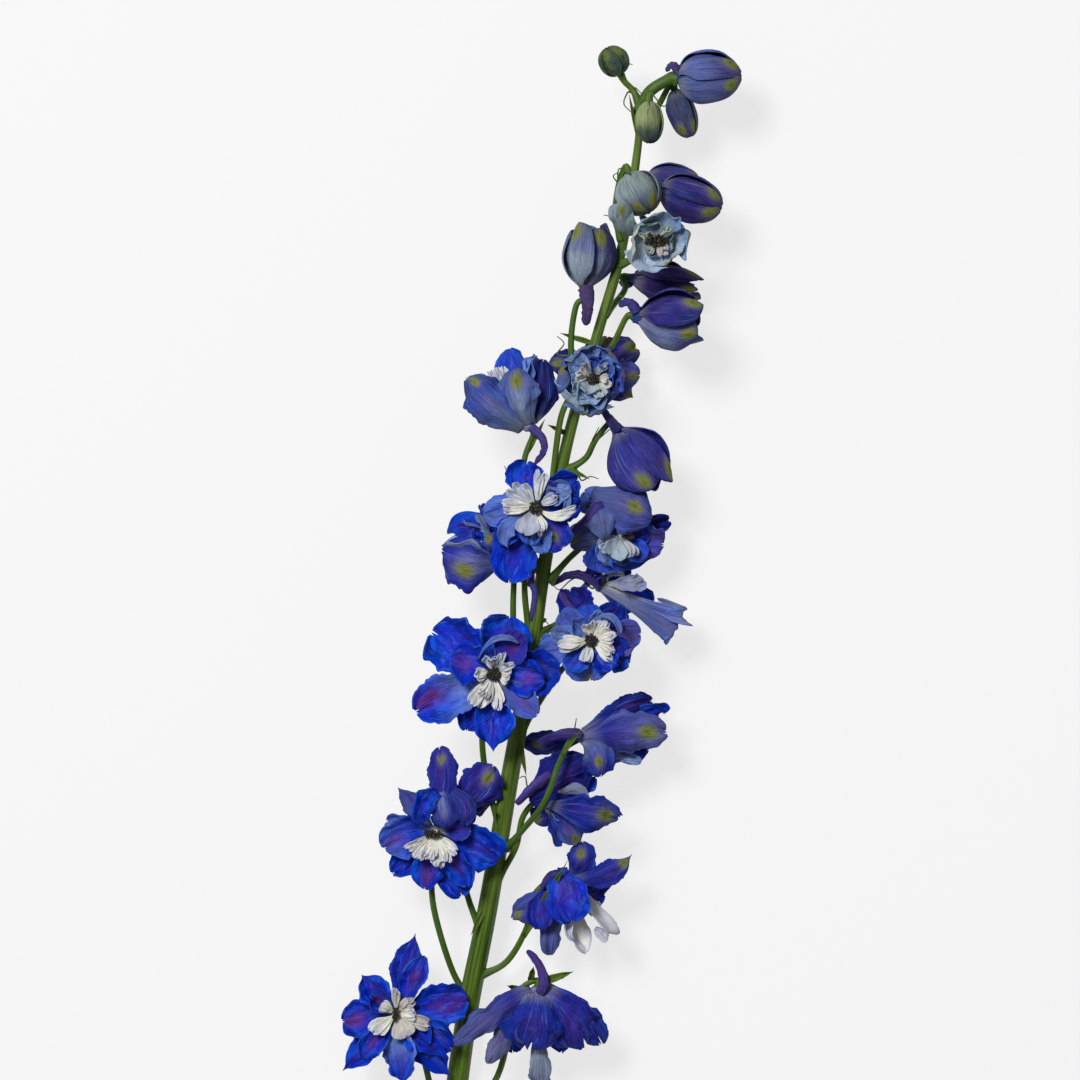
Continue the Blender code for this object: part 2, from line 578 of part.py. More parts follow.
               bee=[reach(7.0, 174.4, 7, 8), reach(19.2, 184.6, 7, 6), reach(31.6, 178.6, 7, 7),
                    reach(26.6, 184.4, 6, 5), reach(29.4, 169.8, 7, 7), reach(17.6, 167.0, 6, 6)],
               spur=(8.0, 195.0, 30), spur_radius=2.4),
    open_bloom("floret_09", (-18.2, 162.8, 47), (-0.05, 0.0, 1.0),
               [(-15.6, 98.0), (-21.0, 118.0), (-23.2, 137.0), (-21.0, 156.0)],
               [reach(-43.6, 179.6, -3, 22, via=(-31.0, 172.0, -1)),
                reach(-12.0, 186.0, -4, 22, via=(-14.6, 175.0, -2)), reach(7.6, 163.6, -5, 18),
                reach(-18.5, 132.0, -3, 17, via=(-18.6, 146.0, 0)), reach(-29.4, 140.0, -6, 14),
                reach(-49.8, 147.4, -3, 18, via=(-34.0, 156.0, 0))],
               petals=[reach(-35.6, 168.6, 3, 17, via=(-27.0, 166.6, 4)), reach(-6.8, 180.2, 5, 13),
                       reach(2.0, 160.2, 4, 15), reach(-0.8, 146.4, 3, 12)],
               bee=[reach(-26.8, 162.6, 8, 7), reach(-27.6, 148.8, 7, 8), reach(-16.6, 148.0, 7, 6),
                    reach(-9.6, 161.0, 8, 8), reach(-18.6, 171.4, 8, 10)],
               spur=(-26.0, 178.0, 33)),
    open_bloom("floret_10", (17.6, 137.4, 28), (0.9, 0.15, 0.2),
               [(-13.4, 92.0), (-4.4, 103.0, 34.0), (0.0, 108.6, 41.0), (4.2, 117.0, 44.0),
                (7.0, 125.6, 43.0), (10.2, 134.0, 36.0)],
               [reach(51.2, 138.4, 3, 18, via=(34.0, 139.2, 8), face=OUTSIDE),
                reach(45.4, 151.4, -3, 10, via=(33.0, 148.0, 2), face=OUTSIDE),
                reach(24.2, 121.4, 2, 15, via=(22.6, 130.6, 6), face=OUTSIDE),
                reach(-7.4, 134.6, -6, 10, via=(5.0, 134.4, -5), face=OUTSIDE),
                reach(44.0, 130.6, -8, 14), reach(39.0, 146.6, -9, 13)],
               petals=[reach(42.6, 126.6, -2, 8, via=(33.0, 131.0, -1)),
                       reach(48.4, 146.2, -2, 7, via=(36.0, 146.0, -3))],
               bee=[reach(31.0, 142.0, -4, 6), reach(31.0, 137.0, -5, 6)],
               stamens=False, spur=(-1.4, 135.0, 32), spur_via=(8.0, 138.4, 34), spur_radius=2.3),
    open_bloom("floret_11", (3.0, 111.0, 31), (0.85, -0.1, 0.3),
               [(-18.0, 78.0), (-10.0, 92.0), (-7.0, 104.6)],
               [reach(20.0, 129.0, 1, 20, root=(-4.0, 112.0, 4), via=(8.0, 120.0, 6), face=OUTSIDE,
                      claw=0.2),
                reach(32.4, 105.0, 2, 15, via=(17.6, 107.6, 11), face=OUTSIDE),
                reach(15.2, 94.2, 0, 11, via=(10.0, 102.0, 3), face=OUTSIDE),
                reach(23.0, 121.4, -4, 14, via=(13.0, 117.0, -2)), reach(8.0, 93.6, -10, 13),
                reach(-2.6, 103.4, -3, 10, face=OUTSIDE)],
               petals=[reach(17.0, 110.6, 8, 5, via=(14.0, 116.0, 7))],
               bee=[reach(13.6, 112.0, 0, 5), reach(14.6, 106.6, -2, 5), reach(13.0, 114.6, -4, 5)],
               spur=(-9.4, 110.6, 36), spur_via=(-2.0, 118.0, 38), spur_from=(4.0, 121.0, 34),
               spur_radius=3.0),
    open_bloom("floret_12", (-41.6, 99.4, 36), (-0.1, -0.25, 0.95),
               [(-28.4, 30.0), (-36.0, 44.0), (-43.0, 70.0), (-42.6, 90.0)],
               [reach(-40.4, 133.6, -5, 12, via=(-39.0, 119.0, -1), face=OUTSIDE),
                reach(-57.0, 117.0, -5, 9, via=(-50.0, 109.0, -3), face=OUTSIDE),
                reach(-62.4, 92.4, 1, 18, via=(-53.0, 98.0, 4)), reach(-31.0, 73.4, -6, 15),
                reach(-16.0, 88.0, -3, 20, via=(-27.0, 95.0, -1)), reach(-61.6, 103.4, -7, 11),
                reach(-46.4, 76.0, -2, 13), reach(-59.0, 82.8, -5, 12)],
               petals=[reach(-37.4, 99.8, 9, 14, root=(-40.0, 114.0, 2), via=(-38.6, 108.4, 9),
                             face=OUTSIDE),
                       reach(-29.0, 77.0, 1, 12, via=(-34.0, 88.0, 3))],
               bee=[reach(-52.0, 90.6, 7, 8), reach(-45.8, 86.8, 8, 7), reach(-40.2, 85.2, 8, 7),
                    reach(-33.8, 89.2, 7, 7)],
               spur=(-36.0, 120.0, 22)),
    open_bloom("floret_13", (10.6, 79.0, 28), (0.75, -0.45, 0.3),
               [(-25.2, 40.0), (-13.6, 46.0), (-5.4, 60.0), (-2.8, 73.0)],
               [reach(17.2, 95.6, 2, 12, via=(16.0, 87.0, 4), face=OUTSIDE),
                reach(36.0, 89.6, 1, 12, via=(25.0, 84.4, 5), face=OUTSIDE),
                reach(31.4, 78.4, -5, 11, via=(22.0, 75.6, -2), face=OUTSIDE),
                reach(11.6, 64.6, 6, 18, root=(9.0, 84.6, 3), via=(9.6, 75.6, 9), face=INSIDE),
                reach(-11.4, 63.8, -3, 11, via=(-2.6, 69.6, 1), face=OUTSIDE),
                reach(4.0, 48.6, -3, 9, via=(4.6, 62.0, -1), face=OUTSIDE)],
               petals=[reach(1.0, 60.2, 4, 11, root=(1.6, 76.0, 3), via=(-0.4, 68.0, 6),
                             face=INSIDE),
                       reach(26.4, 74.6, -8, 10, via=(19.0, 73.0, -7))],
               bee=[reach(19.4, 50.6, -1, 11, via=(14.6, 60.0, 1)),
                    reach(8.6, 57.0, -3, 7, via=(10.0, 63.0, -2)),
                    reach(22.0, 67.0, -4, 7, via=(17.0, 71.0, -2.5))],
               spur=(0.6, 77.0, 34), spur_via=(5.0, 82.4, 34), spur_radius=2.4),
    open_bloom("floret_14", (-1.0, 35.0, 31), (0.05, -0.95, -0.2),
               [(-33.6, -22.0), (-17.6, -1.0), (-11.2, 24.0), (-7.6, 36.0), (-4.0, 40.0)],
               [reach(-35.4, 13.2, 2, 9, via=(-17.0, 25.4, 6), face=OUTSIDE, claw=0.2),
                reach(-4.0, 11.6, 4, 27, via=(-3.0, 24.0, 10), face=OUTSIDE, claw=0.2),
                reach(19.0, 12.0, -1, 20, via=(11.4, 25.0, 5), face=OUTSIDE, claw=0.2),
                reach(10.0, 9.6, -15, 16), reach(-12.0, 9.0, -14, 16),
                reach(25.8, 14.0, -4, 13, via=(14.0, 28.0, 2), face=OUTSIDE, claw=0.2)],
               petals=[reach(-21.2, 6.6, -2, 10, via=(-13.0, 19.0, 3), face=OUTSIDE),
                       reach(-12.8, 4.4, -6, 8, via=(-8.0, 18.0, -2), face=OUTSIDE),
                       reach(0.4, 2.4, -3, 10, via=(-0.6, 17.0, 1), face=OUTSIDE)],
               bee=[reach(-5.0, 14.6, -3, 7), reach(2.0, 14.0, -5, 7), reach(-2.0, 15.0, -9, 7)],
               spur=(-5.2, 51.6, 33), spur_via=(2.6, 46.0, 35), spur_from=(3.6, 38.5, 36),
               spur_radius=2.3),
    open_bloom("floret_15", (-57.4, 25.8, 26), (-0.1, 0.05, 1.0),
               [(-36.6, -30.0), (-43.0, -10.0), (-47.6, 9.0), (-54.0, 20.4)],
               [reach(-50.0, 58.0, -3, 13, cup=0.4), reach(-28.6, 31.6, -4, 18),
                reach(-36.6, 1.0, -7, 14), reach(-55.0, -1.6, -3, 15), reach(-78.4, 3.6, -4, 12),
                reach(-78.8, 22.8, -3, 17), reach(-71.0, 40.6, -2, 14), reach(-35.0, 11.4, -2, 15)],
               petals=[reach(-46.0, 49.0, 4, 10, cup=0.45), reach(-71.6, 8.4, 3, 10)],
               bee=[reach(-65.0, 30.4, 6, 7), reach(-67.0, 18.6, 6, 9), reach(-48.8, 27.2, 6, 7),
                    reach(-53.4, 16.6, 5, 9), reach(-57.4, 38.4, 6, 6)],
               spur=(-68.0, 40.0, 12)),
]

# Bracts on the stem and the stalks: foot, tip and width
BRACTS = [
    ((40.4, 384.0, 31.3), (36.0, 389.0, 36.0), 1.8),
    ((39.4, 376.0, 31.0), (35.4, 394.0, 34.0), 1.6),
    ((33.6, 338.0, 30.6), (27.8, 345.0, 33.0), 2.2),
    ((22.0, 294.5, 29.9), (8.0, 298.6, 31.0), 2.2),
    ((12.0, 258.0, 29.1), (2.6, 262.0, 33.0), 2.0),
    ((-5.6, 250.0, 30.6), (2.0, 264.6, 36.0), 2.0),
    ((8.8, 246.0, 28.9), (20.0, 240.0, 33.0), 2.0),
    ((4.0, 221.0, 28.2), (-12.4, 246.0, 30.0), 1.8),
    ((-8.0, 200.0, 35.0), (-2.0, 196.6, 30.0), 1.8),
    ((-0.6, 183.0, 26.6), (3.6, 184.6, 32.0), 2.2),
    ((-9.2, 139.0, 23.8), (-5.6, 121.0, 28.6), 2.4),
    ((8.6, 130.5, 41.5), (16.4, 140.6, 45.0), 1.8),
    ((-15.0, 98.0, 20.9), (-18.4, 108.6, 27.0), 2.4),
    ((-20.4, 71.0, 18.4), (-28.0, 57.0, 24.0), 2.6),
    ((-6.6, 57.0, 26.0), (11.2, 88.4, 37.0), 3.2),
    ((-7.6, 35.6, 29.0), (-14.0, 38.0, 36.0), 2.4),
    ((-4.0, 39.0, 31.0), (-2.6, 46.6, 39.0), 2.6),
    ((-30.0, 20.0, 12.4), (-36.0, 32.0, 18.0), 2.8),
]


def stalk_line(bloom):
    """The stalk's middle line, from inside the stem to just behind the bloom."""
    end = bloom.back()
    places = [np.array(place, dtype=float) for place in bloom.stalk]
    # the last stretch comes in along the bloom's own axis
    near = end - LAST_STRETCH * bloom.axis
    while len(places) > 1 and np.linalg.norm(places[-1][:2] - near[:2]) < LAST_STEP:
        places.pop()
    stops = [place[:2] for place in places] + [near[:2]]
    steps = [np.linalg.norm(b - a) for a, b in zip(stops, stops[1:])]
    total = sum(steps)
    start_height = stem_height(places[0][1])
    gone, points = 0.0, []
    for place, step in zip(places, steps):
        share = gone / total
        share = share * share * (3 - 2 * share)
        height = start_height + share * (near[2] - start_height)
        if len(place) == 3:
            height = place[2]
        points.append(np.array([place[0], place[1], height]))
        gone += step
    points += [near, end]
    return smooth_path(points, 2 + len(places))


def samples_of_line(line, radii, spacing=1.6):
    """Balls along a line, as points and radii."""
    points, sizes = [], []
    for a, b, ra, rb in zip(line, line[1:], radii, radii[1:]):
        count = max(1, int(np.linalg.norm(b - a) / spacing))
        for k in range(count):
            points.append(a + (b - a) * k / count)
            sizes.append(ra + (rb - ra) * k / count)
    points.append(line[-1])
    sizes.append(radii[-1])
    return np.array(points), np.array(sizes)


# Where a blade is sampled along its length and across its width
SAMPLE_TIMES = np.repeat(np.linspace(0.09, 1.0, 11), 7)
SAMPLE_SIDES = np.tile(np.linspace(-1.0, 1.0, 7), 11)


def blade_samples(blade):
    return blade.place(SAMPLE_TIMES, SAMPLE_SIDES)[0]


def bend(blade, t, push):
    """Moves the blade's middle and tip so that the point at t moves by push."""
    at_middle, at_tip = 2 * t * (1 - t), t * t
    total = max(at_middle ** 2 + at_tip ** 2, 0.12)
    blade.middle = blade.middle + push * at_middle / total
    blade.tip = blade.tip + push * at_tip / total


def fixed_balls(blooms):
    """What the blades are bent clear of: stem, stalks, spurs and buds, as rows of balls."""
    rows = smooth_path(STEM, 200)
    points, sizes = samples_of_line(rows[:, :3], rows[:, 3] + STEM_CLEARANCE)
    fixed = [("stem", None, points, sizes)]
    for bloom in blooms:
        line = stalk_line(bloom)
        thick = np.full(len(line), bloom.stalk_radius + STEM_CLEARANCE)
        points, sizes = samples_of_line(line, thick)
        far = np.linalg.norm(points - bloom.centre, axis=1) > 6.5
        fixed.append(("stem", bloom, points[far], sizes[far]))
        if bloom.spur:
            line = bloom.spur_line()
            points, sizes = samples_of_line(line, bloom.spur_radii(line) + SPUR_CLEARANCE)
            fixed.append((node_of(bloom), bloom, points, sizes))
        if not bloom.blades:
            rings = bloom.bodies[bloom.name][0][0][:-2].reshape(-1, BUD_SIDES, 3)
            middle = rings.mean(axis=1)
            girth = np.linalg.norm(rings - middle[:, None], axis=2).mean(axis=1)
            points, sizes = samples_of_line(middle, girth + STEM_CLEARANCE)
            fixed.append((bloom.name, bloom, points, sizes))
    return fixed


def settle(blooms):
    """Bends blades of different nodes clear of each other, and of stem, stalks, spurs and buds."""
    fixed = fixed_balls(blooms)
    fixed_low = np.array([(points - sizes[:, None]).min(axis=0) for _, _, points, sizes in fixed])
    fixed_high = np.array([(points + sizes[:, None]).max(axis=0) for _, _, points, sizes in fixed])
    blades = [(bloom, blade) for bloom in blooms for blade in bloom.blades]
    for _ in range(SETTLE_ROUNDS):
        clouds = [blade_samples(blade) for _, blade in blades]
        lows = np.array([cloud.min(axis=0) - CLEARANCE for cloud in clouds])
        highs = np.array([cloud.max(axis=0) + CLEARANCE for cloud in clouds])
        moved = 0
        for i, (bloom, blade) in enumerate(blades):
            near = np.all((fixed_low < highs[i]) & (fixed_high > lows[i]), axis=1)
            for k in np.flatnonzero(near):
                node, owner, points, sizes = fixed[k]
                if owner is not bloom or node == "stem":
                    moved += part_from(blade, clouds[i], points, sizes)
            near = np.all((lows < highs[i]) & (highs > lows[i]), axis=1)
            for j in np.flatnonzero(near):
                other_bloom, other = blades[j]
                if j <= i or other.node == blade.node:
                    continue
                along = bloom.axis if other_bloom is bloom else UP
                sizes = np.full(len(clouds[j]), CLEARANCE)
                moved += part_from(blade, clouds[i], clouds[j], sizes, other, along)
            if not blade.rests:
                moved += lift_clear(blade, clouds[i])
        if not moved:
            break


def lift_clear(blade, cloud):
    """Lifts a blade off the surface; its lowest point is near its middle line."""
    t = SAMPLE_TIMES[:, None]
    line = (1 - t) ** 2 * blade.root + 2 * t * (1 - t) * blade.middle + t ** 2 * blade.tip
    depths = np.minimum(cloud[:, 2], line[:, 2])
    low = depths.argmin()
    lift = SURFACE_CLEARANCE - depths[low]
    if lift <= 0.05:
        return 0
    bend(blade, SAMPLE_TIMES[low], lift * UP)
    return 1


def part_from(blade, mine, theirs, sizes, other=None, along=None):
    """Pushes a blade away from other points where they come too near; tells if it did."""
    way = UP if along is None else along
    gap = mine[:, None, :] - theirs[None, :, :]
    height = gap @ way
    flat = np.sqrt(np.maximum(0.0, (gap ** 2).sum(axis=2) - height ** 2))
    reach = CLEARANCE + sizes[None, :]
    over = flat < reach
    free = np.sqrt(np.maximum(0.0, reach ** 2 - flat ** 2))
    touching = over & (np.abs(height) < free)
    if not touching.any():
        return 0
    above = 1.0 if np.clip(height[over], -DEEP, DEEP).sum() >= 0 else -1.0
    lack = np.where(touching, free - above * height, 0.0)
    i, j = np.unravel_index(lack.argmax(), lack.shape)
    if lack[i, j] < 0.05:
        return 0
    step = min(lack[i, j], LONGEST_STEP) * above * way
    if other is None:
        bend(blade, SAMPLE_TIMES[i], step)
    else:
        bend(blade, SAMPLE_TIMES[i], 0.5 * step)
        bend(other, SAMPLE_TIMES[j], -0.5 * step)
    return 1


def node_of(bloom):
    return bloom.name if bloom.name in bloom.bodies else f"{bloom.name}_sepals"


def empty_scene():
    for thing in list(bpy.data.objects):
        bpy.data.objects.remove(thing, do_unlink=True)


def make_material(name):
    colour, roughness = COLOURS[name]
    material = bpy.data.materials.new(name)
    material.use_nodes = True
    shader = material.node_tree.nodes["Principled BSDF"]
    shader.inputs["Base Color"].default_value = (*colour, 1.0)
    shader.inputs["Roughness"].default_value = roughness
    shader.inputs["Metallic"].default_value = 0.0
    return material


def new_object(name, points, faces, centre):
    mesh = bpy.data.meshes.new(name)
    mesh.from_pydata([tuple((p - centre) * MM) for p in points], [], faces)
    body = bmesh.new()
    body.from_mesh(mesh)
    bmesh.ops.recalc_face_normals(body, faces=body.faces)
    body.to_mesh(mesh)
    body.free()
    thing = bpy.data.objects.new(name, mesh)
    thing.location = (centre - MIDDLE) * MM
    bpy.context.collection.objects.link(thing)
    return thing


def is_closed(mesh):
    body = bmesh.new()
    body.from_mesh(mesh)
    closed = len(body.faces) > 0 and all(len(edge.link_faces) == 2 for edge in body.edges)
    body.free()
    return closed


def merge_flat_faces(mesh):
    """Takes out the cuts and the slivers that a union leaves, as far as the body stays closed."""
    for sliver in SLIVERS:
        body = bmesh.new()
        body.from_mesh(mesh)
        if sliver:
            bmesh.ops.remove_doubles(body, verts=body.verts, dist=sliver * MM)
            bmesh.ops.dissolve_degenerate(body, edges=body.edges, dist=0.1 * sliver * MM)
        bmesh.ops.dissolve_limit(body, angle_limit=FLAT, verts=body.verts, edges=body.edges)
        bmesh.ops.triangulate(body, faces=body.faces)
        whole = bpy.data.meshes.new("whole")
        body.to_mesh(whole)
        closed = is_closed(whole)
        if closed:
            body.to_mesh(mesh)
        bpy.data.meshes.remove(whole)
        body.free()
        if closed:
            return


def keep_largest(mesh):
    """Keeps the body with the most volume, so no scrap or sealed hollow stays."""
    body = bmesh.new()
    body.from_mesh(mesh)
    bmesh.ops.triangulate(body, faces=body.faces)
    unseen, groups = set(body.faces), []
    while unseen:
        stack, group = [unseen.pop()], []
        while stack:
            face = stack.pop()
            group.append(face)
            for edge in face.edges:
                for linked in edge.link_faces:
                    if linked in unseen:
                        unseen.discard(linked)
                        stack.append(linked)
        groups.append(group)
    groups.sort(key=group_volume, reverse=True)
    loose = [face for group in groups[1:] for face in group]
    bmesh.ops.delete(body, geom=loose, context="FACES")
    body.to_mesh(mesh)
    body.free()


def group_volume(group):
    total = 0.0
    for face in group:
        a, b, c = [vertex.co for vertex in face.verts]
        total += a.dot(b.cross(c)) / 6
    return total


def fuse(name, meshes, centre, material):
    """Joins the meshes of one node in a single Boolean union on a collection."""
    first = new_object(name, *meshes[0], centre)
    first.data.materials.append(material)
    if len(meshes) > 1:
        group = bpy.data.collections.new(f"{name}_rest")
        bpy.context.scene.collection.children.link(group)
        rest = []
        for points, faces in meshes[1:]:
            piece = new_object(f"{name}_piece", points, faces, centre)
            bpy.context.collection.objects.unlink(piece)
            group.objects.link(piece)
            rest.append(piece)
        union = first.modifiers.new("union", "BOOLEAN")
        union.operation = "UNION"
        union.operand_type = "COLLECTION"
        union.collection = group
        for solver in ("EXACT", "MANIFOLD"):
            union.solver = solver
            bpy.context.view_layer.update()
            depsgraph = bpy.context.evaluated_depsgraph_get()
            joined = bpy.data.meshes.new_from_object(first.evaluated_get(depsgraph))
            if is_closed(joined):
                break
        first.modifiers.clear()
        first.data = joined
        for piece in rest:
            bpy.data.objects.remove(piece, do_unlink=True)
        bpy.data.collections.remove(group)
    merge_flat_faces(first.data)
    keep_largest(first.data)
    first.data.name = name
    first.data.materials.clear()
    first.data.materials.append(material)
    first.data.shade_smooth()
    first.data.set_sharp_from_angle(angle=math.radians(50))
    return first


def stem_meshes(blooms):
    rows = smooth_path(STEM, 15)
    points, faces = tube(rows[:, :3], rows[:, 3], 8, turn=math.pi / 8)
    points[:, 2] = np.maximum(points[:, 2], 0.0)
    meshes = [(points, faces)]
    for bloom in blooms:
        line = stalk_line(bloom)
        thick = bloom.stalk_radius * np.linspace(STALK_FOOT, 1.0, len(line))
        meshes.append(tube(line, thick, STALK_SIDES, turn=0.3))
    for foot, tip, width in BRACTS:
        foot, tip = np.array(foot, dtype=float), np.array(tip, dtype=float)
        blade = Blade("stem", foot, tip, BRACT_FACE, width, BRACT_BOW, 0.0, SLIM_ROWS, BRACT_CLAW)
        meshes.append(blade.mesh())
    return meshes


def material_of(node):
    if node.endswith("_bee"):
        return "bee_white"
    if node.endswith("_stamens"):
        return "stamen_brown"
    if node.startswith("bud"):
        return "bud_violet"
    if node.startswith("young"):
        return "young_blue"
    return "sepal_blue"


def main():
    empty_scene()
    settle(BLOOMS)
    materials = {name: make_material(name) for name in COLOURS}
    spike = bpy.data.objects.new("spike", None)
    bpy.context.collection.objects.link(spike)
    things = [fuse("stem", stem_meshes(BLOOMS), STEM_MIDDLE, materials["stem_green"])]
    for bloom in BLOOMS:
        for node, bodies in bloom.bodies.items():
            meshes = bodies + [blade.mesh() for blade in bloom.blades if blade.node == node]
            things.append(fuse(node, meshes, bloom.centre, materials[material_of(node)]))
    for thing in things:
        thing.parent = spike


main()
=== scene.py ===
"""The looks of a cut delphinium spike that lies on a pale floor, seen from straight above.

Shapes are worked out in millimetres, as in the frame's own drawing, and turned into metres when
a mesh is made. +X is to the right, +Y runs along the stem to its tip, +Z is up, and the floor is
at Z = 0. MIDDLE moves the drawing's zero to the middle of the spike.
"""

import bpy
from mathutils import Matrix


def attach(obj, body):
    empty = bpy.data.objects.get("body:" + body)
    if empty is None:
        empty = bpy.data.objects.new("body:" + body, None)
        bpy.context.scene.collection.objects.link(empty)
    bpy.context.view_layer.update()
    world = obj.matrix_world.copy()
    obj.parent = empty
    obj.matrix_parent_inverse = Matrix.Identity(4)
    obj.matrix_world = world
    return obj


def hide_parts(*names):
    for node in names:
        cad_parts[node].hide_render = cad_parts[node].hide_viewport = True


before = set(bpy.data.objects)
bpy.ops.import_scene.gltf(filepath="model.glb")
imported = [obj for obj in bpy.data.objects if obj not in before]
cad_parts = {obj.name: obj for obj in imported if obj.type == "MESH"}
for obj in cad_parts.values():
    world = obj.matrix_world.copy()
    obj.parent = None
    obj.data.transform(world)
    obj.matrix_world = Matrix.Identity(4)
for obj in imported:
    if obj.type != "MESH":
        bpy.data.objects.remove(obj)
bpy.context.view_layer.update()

import copy
import math

import bmesh
import bpy
import numpy as np
from mathutils import Vector

MM = 0.001
MIDDLE = np.array([0.8, 181.0, 0.0])
UP = np.array([0.0, 0.0, 1.0])
# The way a blade's inner side looks: up to the camera, or down, so that its outer side shows
INSIDE = np.array([0.05, 0.05, 1.0])
OUTSIDE = np.array([0.05, 0.05, -1.0])

# The photograph's frame: millimetres across, and the drawing's point at its middle
FRAME_WIDTH = 432.0
FRAME_MIDDLE = (0.0, 216.0)
FRAME_HEIGHT_OF_BLOOMS = 34.0
CAMERA_LENS = 200.0
SENSOR = 36.0

# Rows and columns of a fine grid: a blue petal, a whole white one, and a lobe of a torn one
PETAL_GRID = (30, 21)
WHOLE_GRID = (24, 17)
LOBE_GRID = (16, 9)
WRAP_COLUMNS = 23
# A lobe's place to the side and its width, over the white petal's width
LOBE_SHIFT = 0.28
LOBE_WIDTH = 0.50
WIDEST_TORN = 8.5
PETAL_THICKNESS = 0.40
JAGS = 0.05

# A blade's foot: its width over the blade's, and how far it is out from the bloom's axis
CLAW = 0.12
NARROWEST_CLAW = 0.22
CLAW_FOOT = 2.2
SEPAL_BOW = (0.10, -0.24)
YOUNG_CUP = 0.30
# By kind: how far the foot is forward of the centre and out from the axis, how far out the tip
# is at least, the bow of a level and of a steep blade, and the cup
STARTS = {
    "sepal": (-0.3, CLAW_FOOT, 9.0, SEPAL_BOW, 0.22),
    "petal": (0.9, CLAW_FOOT, 7.5, (0.08, -0.22), 0.30),
    "bee": (2.25, 1.1, 6.0, (0.10, -0.22), 0.35),
}
# By kind: the widest place along the blade, and the sizes of ruffle, crumple and fold
FORMS = {
    "sepal": (0.56, 1.0, 0.42, 0.7),
    "petal": (0.56, 1.15, 0.42, 0.7),
    "bee": (0.70, 0.6, 0.30, 1.1),
}
# How full a blade's end is: pointed, round or square
FULLNESS = {"point": 1.6, "round": 2.3, "notch": 3.0, "ragged": 3.4}

# Receptacle, stalks and spurs: their sizes, and where a spur starts and bends if nothing is given
RECEPTACLE_BACK = 2.4
RECEPTACLE_FRONT = 1.4
RECEPTACLE_RADIUS = 2.8
STALK_RADIUS = 1.15
LAST_STRETCH = 3.5
LAST_STRETCH_ROOM = 5.0
SPUR_RADIUS = 1.9
SPUR_FOOT = 3.0
SPUR_SINK = 1.0
SPUR_RISE = 3.0
SPUR_BEND = 0.45
# How far a bud's sepals are turned round it, in fifths of a turn
BUD_TURN = 0.3

# Room that blades keep from each other, from stem and stalks, from spurs and from the surface
CLEARANCE = 0.95
STEM_CLEARANCE = 0.75
SPUR_CLEARANCE = 0.6
SURFACE_CLEARANCE = 1.6
SETTLE_ROUNDS = 90
LONGEST_STEP = 1.6
SMALLEST_STEP = 0.05
DEEP = 14.0
# The balls that stand for stem, stalks and spurs: their spacing, a spur's first and last radius,
# and how near to a bloom's centre its stalk has none
BALL_SPACING = 1.6
SPUR_ENDS = (1.6, 0.6)
STALK_HIDDEN = 6.5
# The lowest heights: a blade that rests on the surface, any other blade, and a thin sheet's skin
REST_BLADE_HEIGHT = 0.35
LOW_BLADE_HEIGHT = 1.2
FLOOR_CLEARANCE = 0.3

# The stem's middle line: x, y, height above the surface and radius, from the cut end to the tip
STEM = [
    (-40, -52, 3.9, 4.4),
    (-35.2, -16, 8, 4.4),
    (-29.2, 26.4, 13, 4.2),
    (-21.2, 67.2, 18, 3.9),
    (-12.4, 119.2, 22.5, 3.6),
    (-4.8, 162, 25.5, 3.3),
    (1.2, 202.4, 27.5, 2.8),
    (10.4, 252.8, 29, 2.4),
    (22.8, 297.6, 30, 2.1),
    (32.4, 331.2, 30.5, 2),
    (38.8, 370.4, 31, 1.6),
    (40.4, 391, 31.5, 1.3),
]


def unit(vector):
    """The vector at a length of 1."""
    vector = np.asarray(vector, dtype=float)
    return vector / np.linalg.norm(vector)


def units(vectors):
    """The vectors of an array, each at a length of 1."""
    return vectors / np.maximum(np.linalg.norm(vectors, axis=-1, keepdims=True), 1e-9)


def smooth_path(points, count):
    """Points evenly spread in parameter on a Catmull-Rom curve through the given points."""
    points = np.asarray(points, dtype=float)
    padded = np.vstack([2 * points[0] - points[1], points, 2 * points[-1] - points[-2]])
    out = []
    for place in np.linspace(0.0, len(points) - 1.0, count):
        i = min(int(place), len(points) - 2)
        t = place - i
        a, b, c, d = padded[i:i + 4]
        out.append(0.5 * (2 * b + (c - a) * t + (2 * a - 5 * b + 4 * c - d) * t ** 2
                          + (3 * b - a - 3 * c + d) * t ** 3))
    return np.array(out)


def arc(root, middle, tip, t):
    """Places t of the quadratic curve from root to tip that middle pulls to its side."""
    return (1 - t) ** 2 * root + 2 * t * (1 - t) * middle + t ** 2 * tip


def smooth_step(low, high, value):
    """0 below low and 1 above high, smooth between."""
    t = np.clip((value - low) / (high - low), 0.0, 1.0)
    return t * t * (3 - 2 * t)


def five_ways(axis, turn):
    """Five ways out from an axis, evenly spread round it."""
    side = unit(np.cross(axis, [0.05, 0.1, 1.0]))
    other = np.cross(axis, side)
    angles = [2 * math.pi * (k + turn) / 5 for k in range(5)]
    return [math.cos(angle) * side + math.sin(angle) * other for angle in angles]


STEM_LINE = smooth_path(STEM, 200)


def stem_height(y):
    """The height of the stem's middle line beside a place."""
    return float(np.interp(y, STEM_LINE[:, 1], STEM_LINE[:, 2]))


class Crumple:
    """A smooth uneven surface: a few crossing waves with seeded directions."""

    def __init__(self, rng, wavelength, count=5):
        turns = rng.uniform(0, 2 * math.pi, count)
        lengths = wavelength * rng.uniform(0.7, 1.6, count)
        self.along = 2 * math.pi * np.cos(turns) / lengths
        self.across = 2 * math.pi * np.sin(turns) / lengths
        self.phases = rng.uniform(0, 2 * math.pi, count)

    def at(self, x, y):
        """The waves' sum at the places x, y, most often between -1 and 1."""
        total = 0.0
        for a, b, phase in zip(self.along, self.across, self.phases):
            total = total + np.sin(a * x + b * y + phase)
        return total / math.sqrt(len(self.phases))


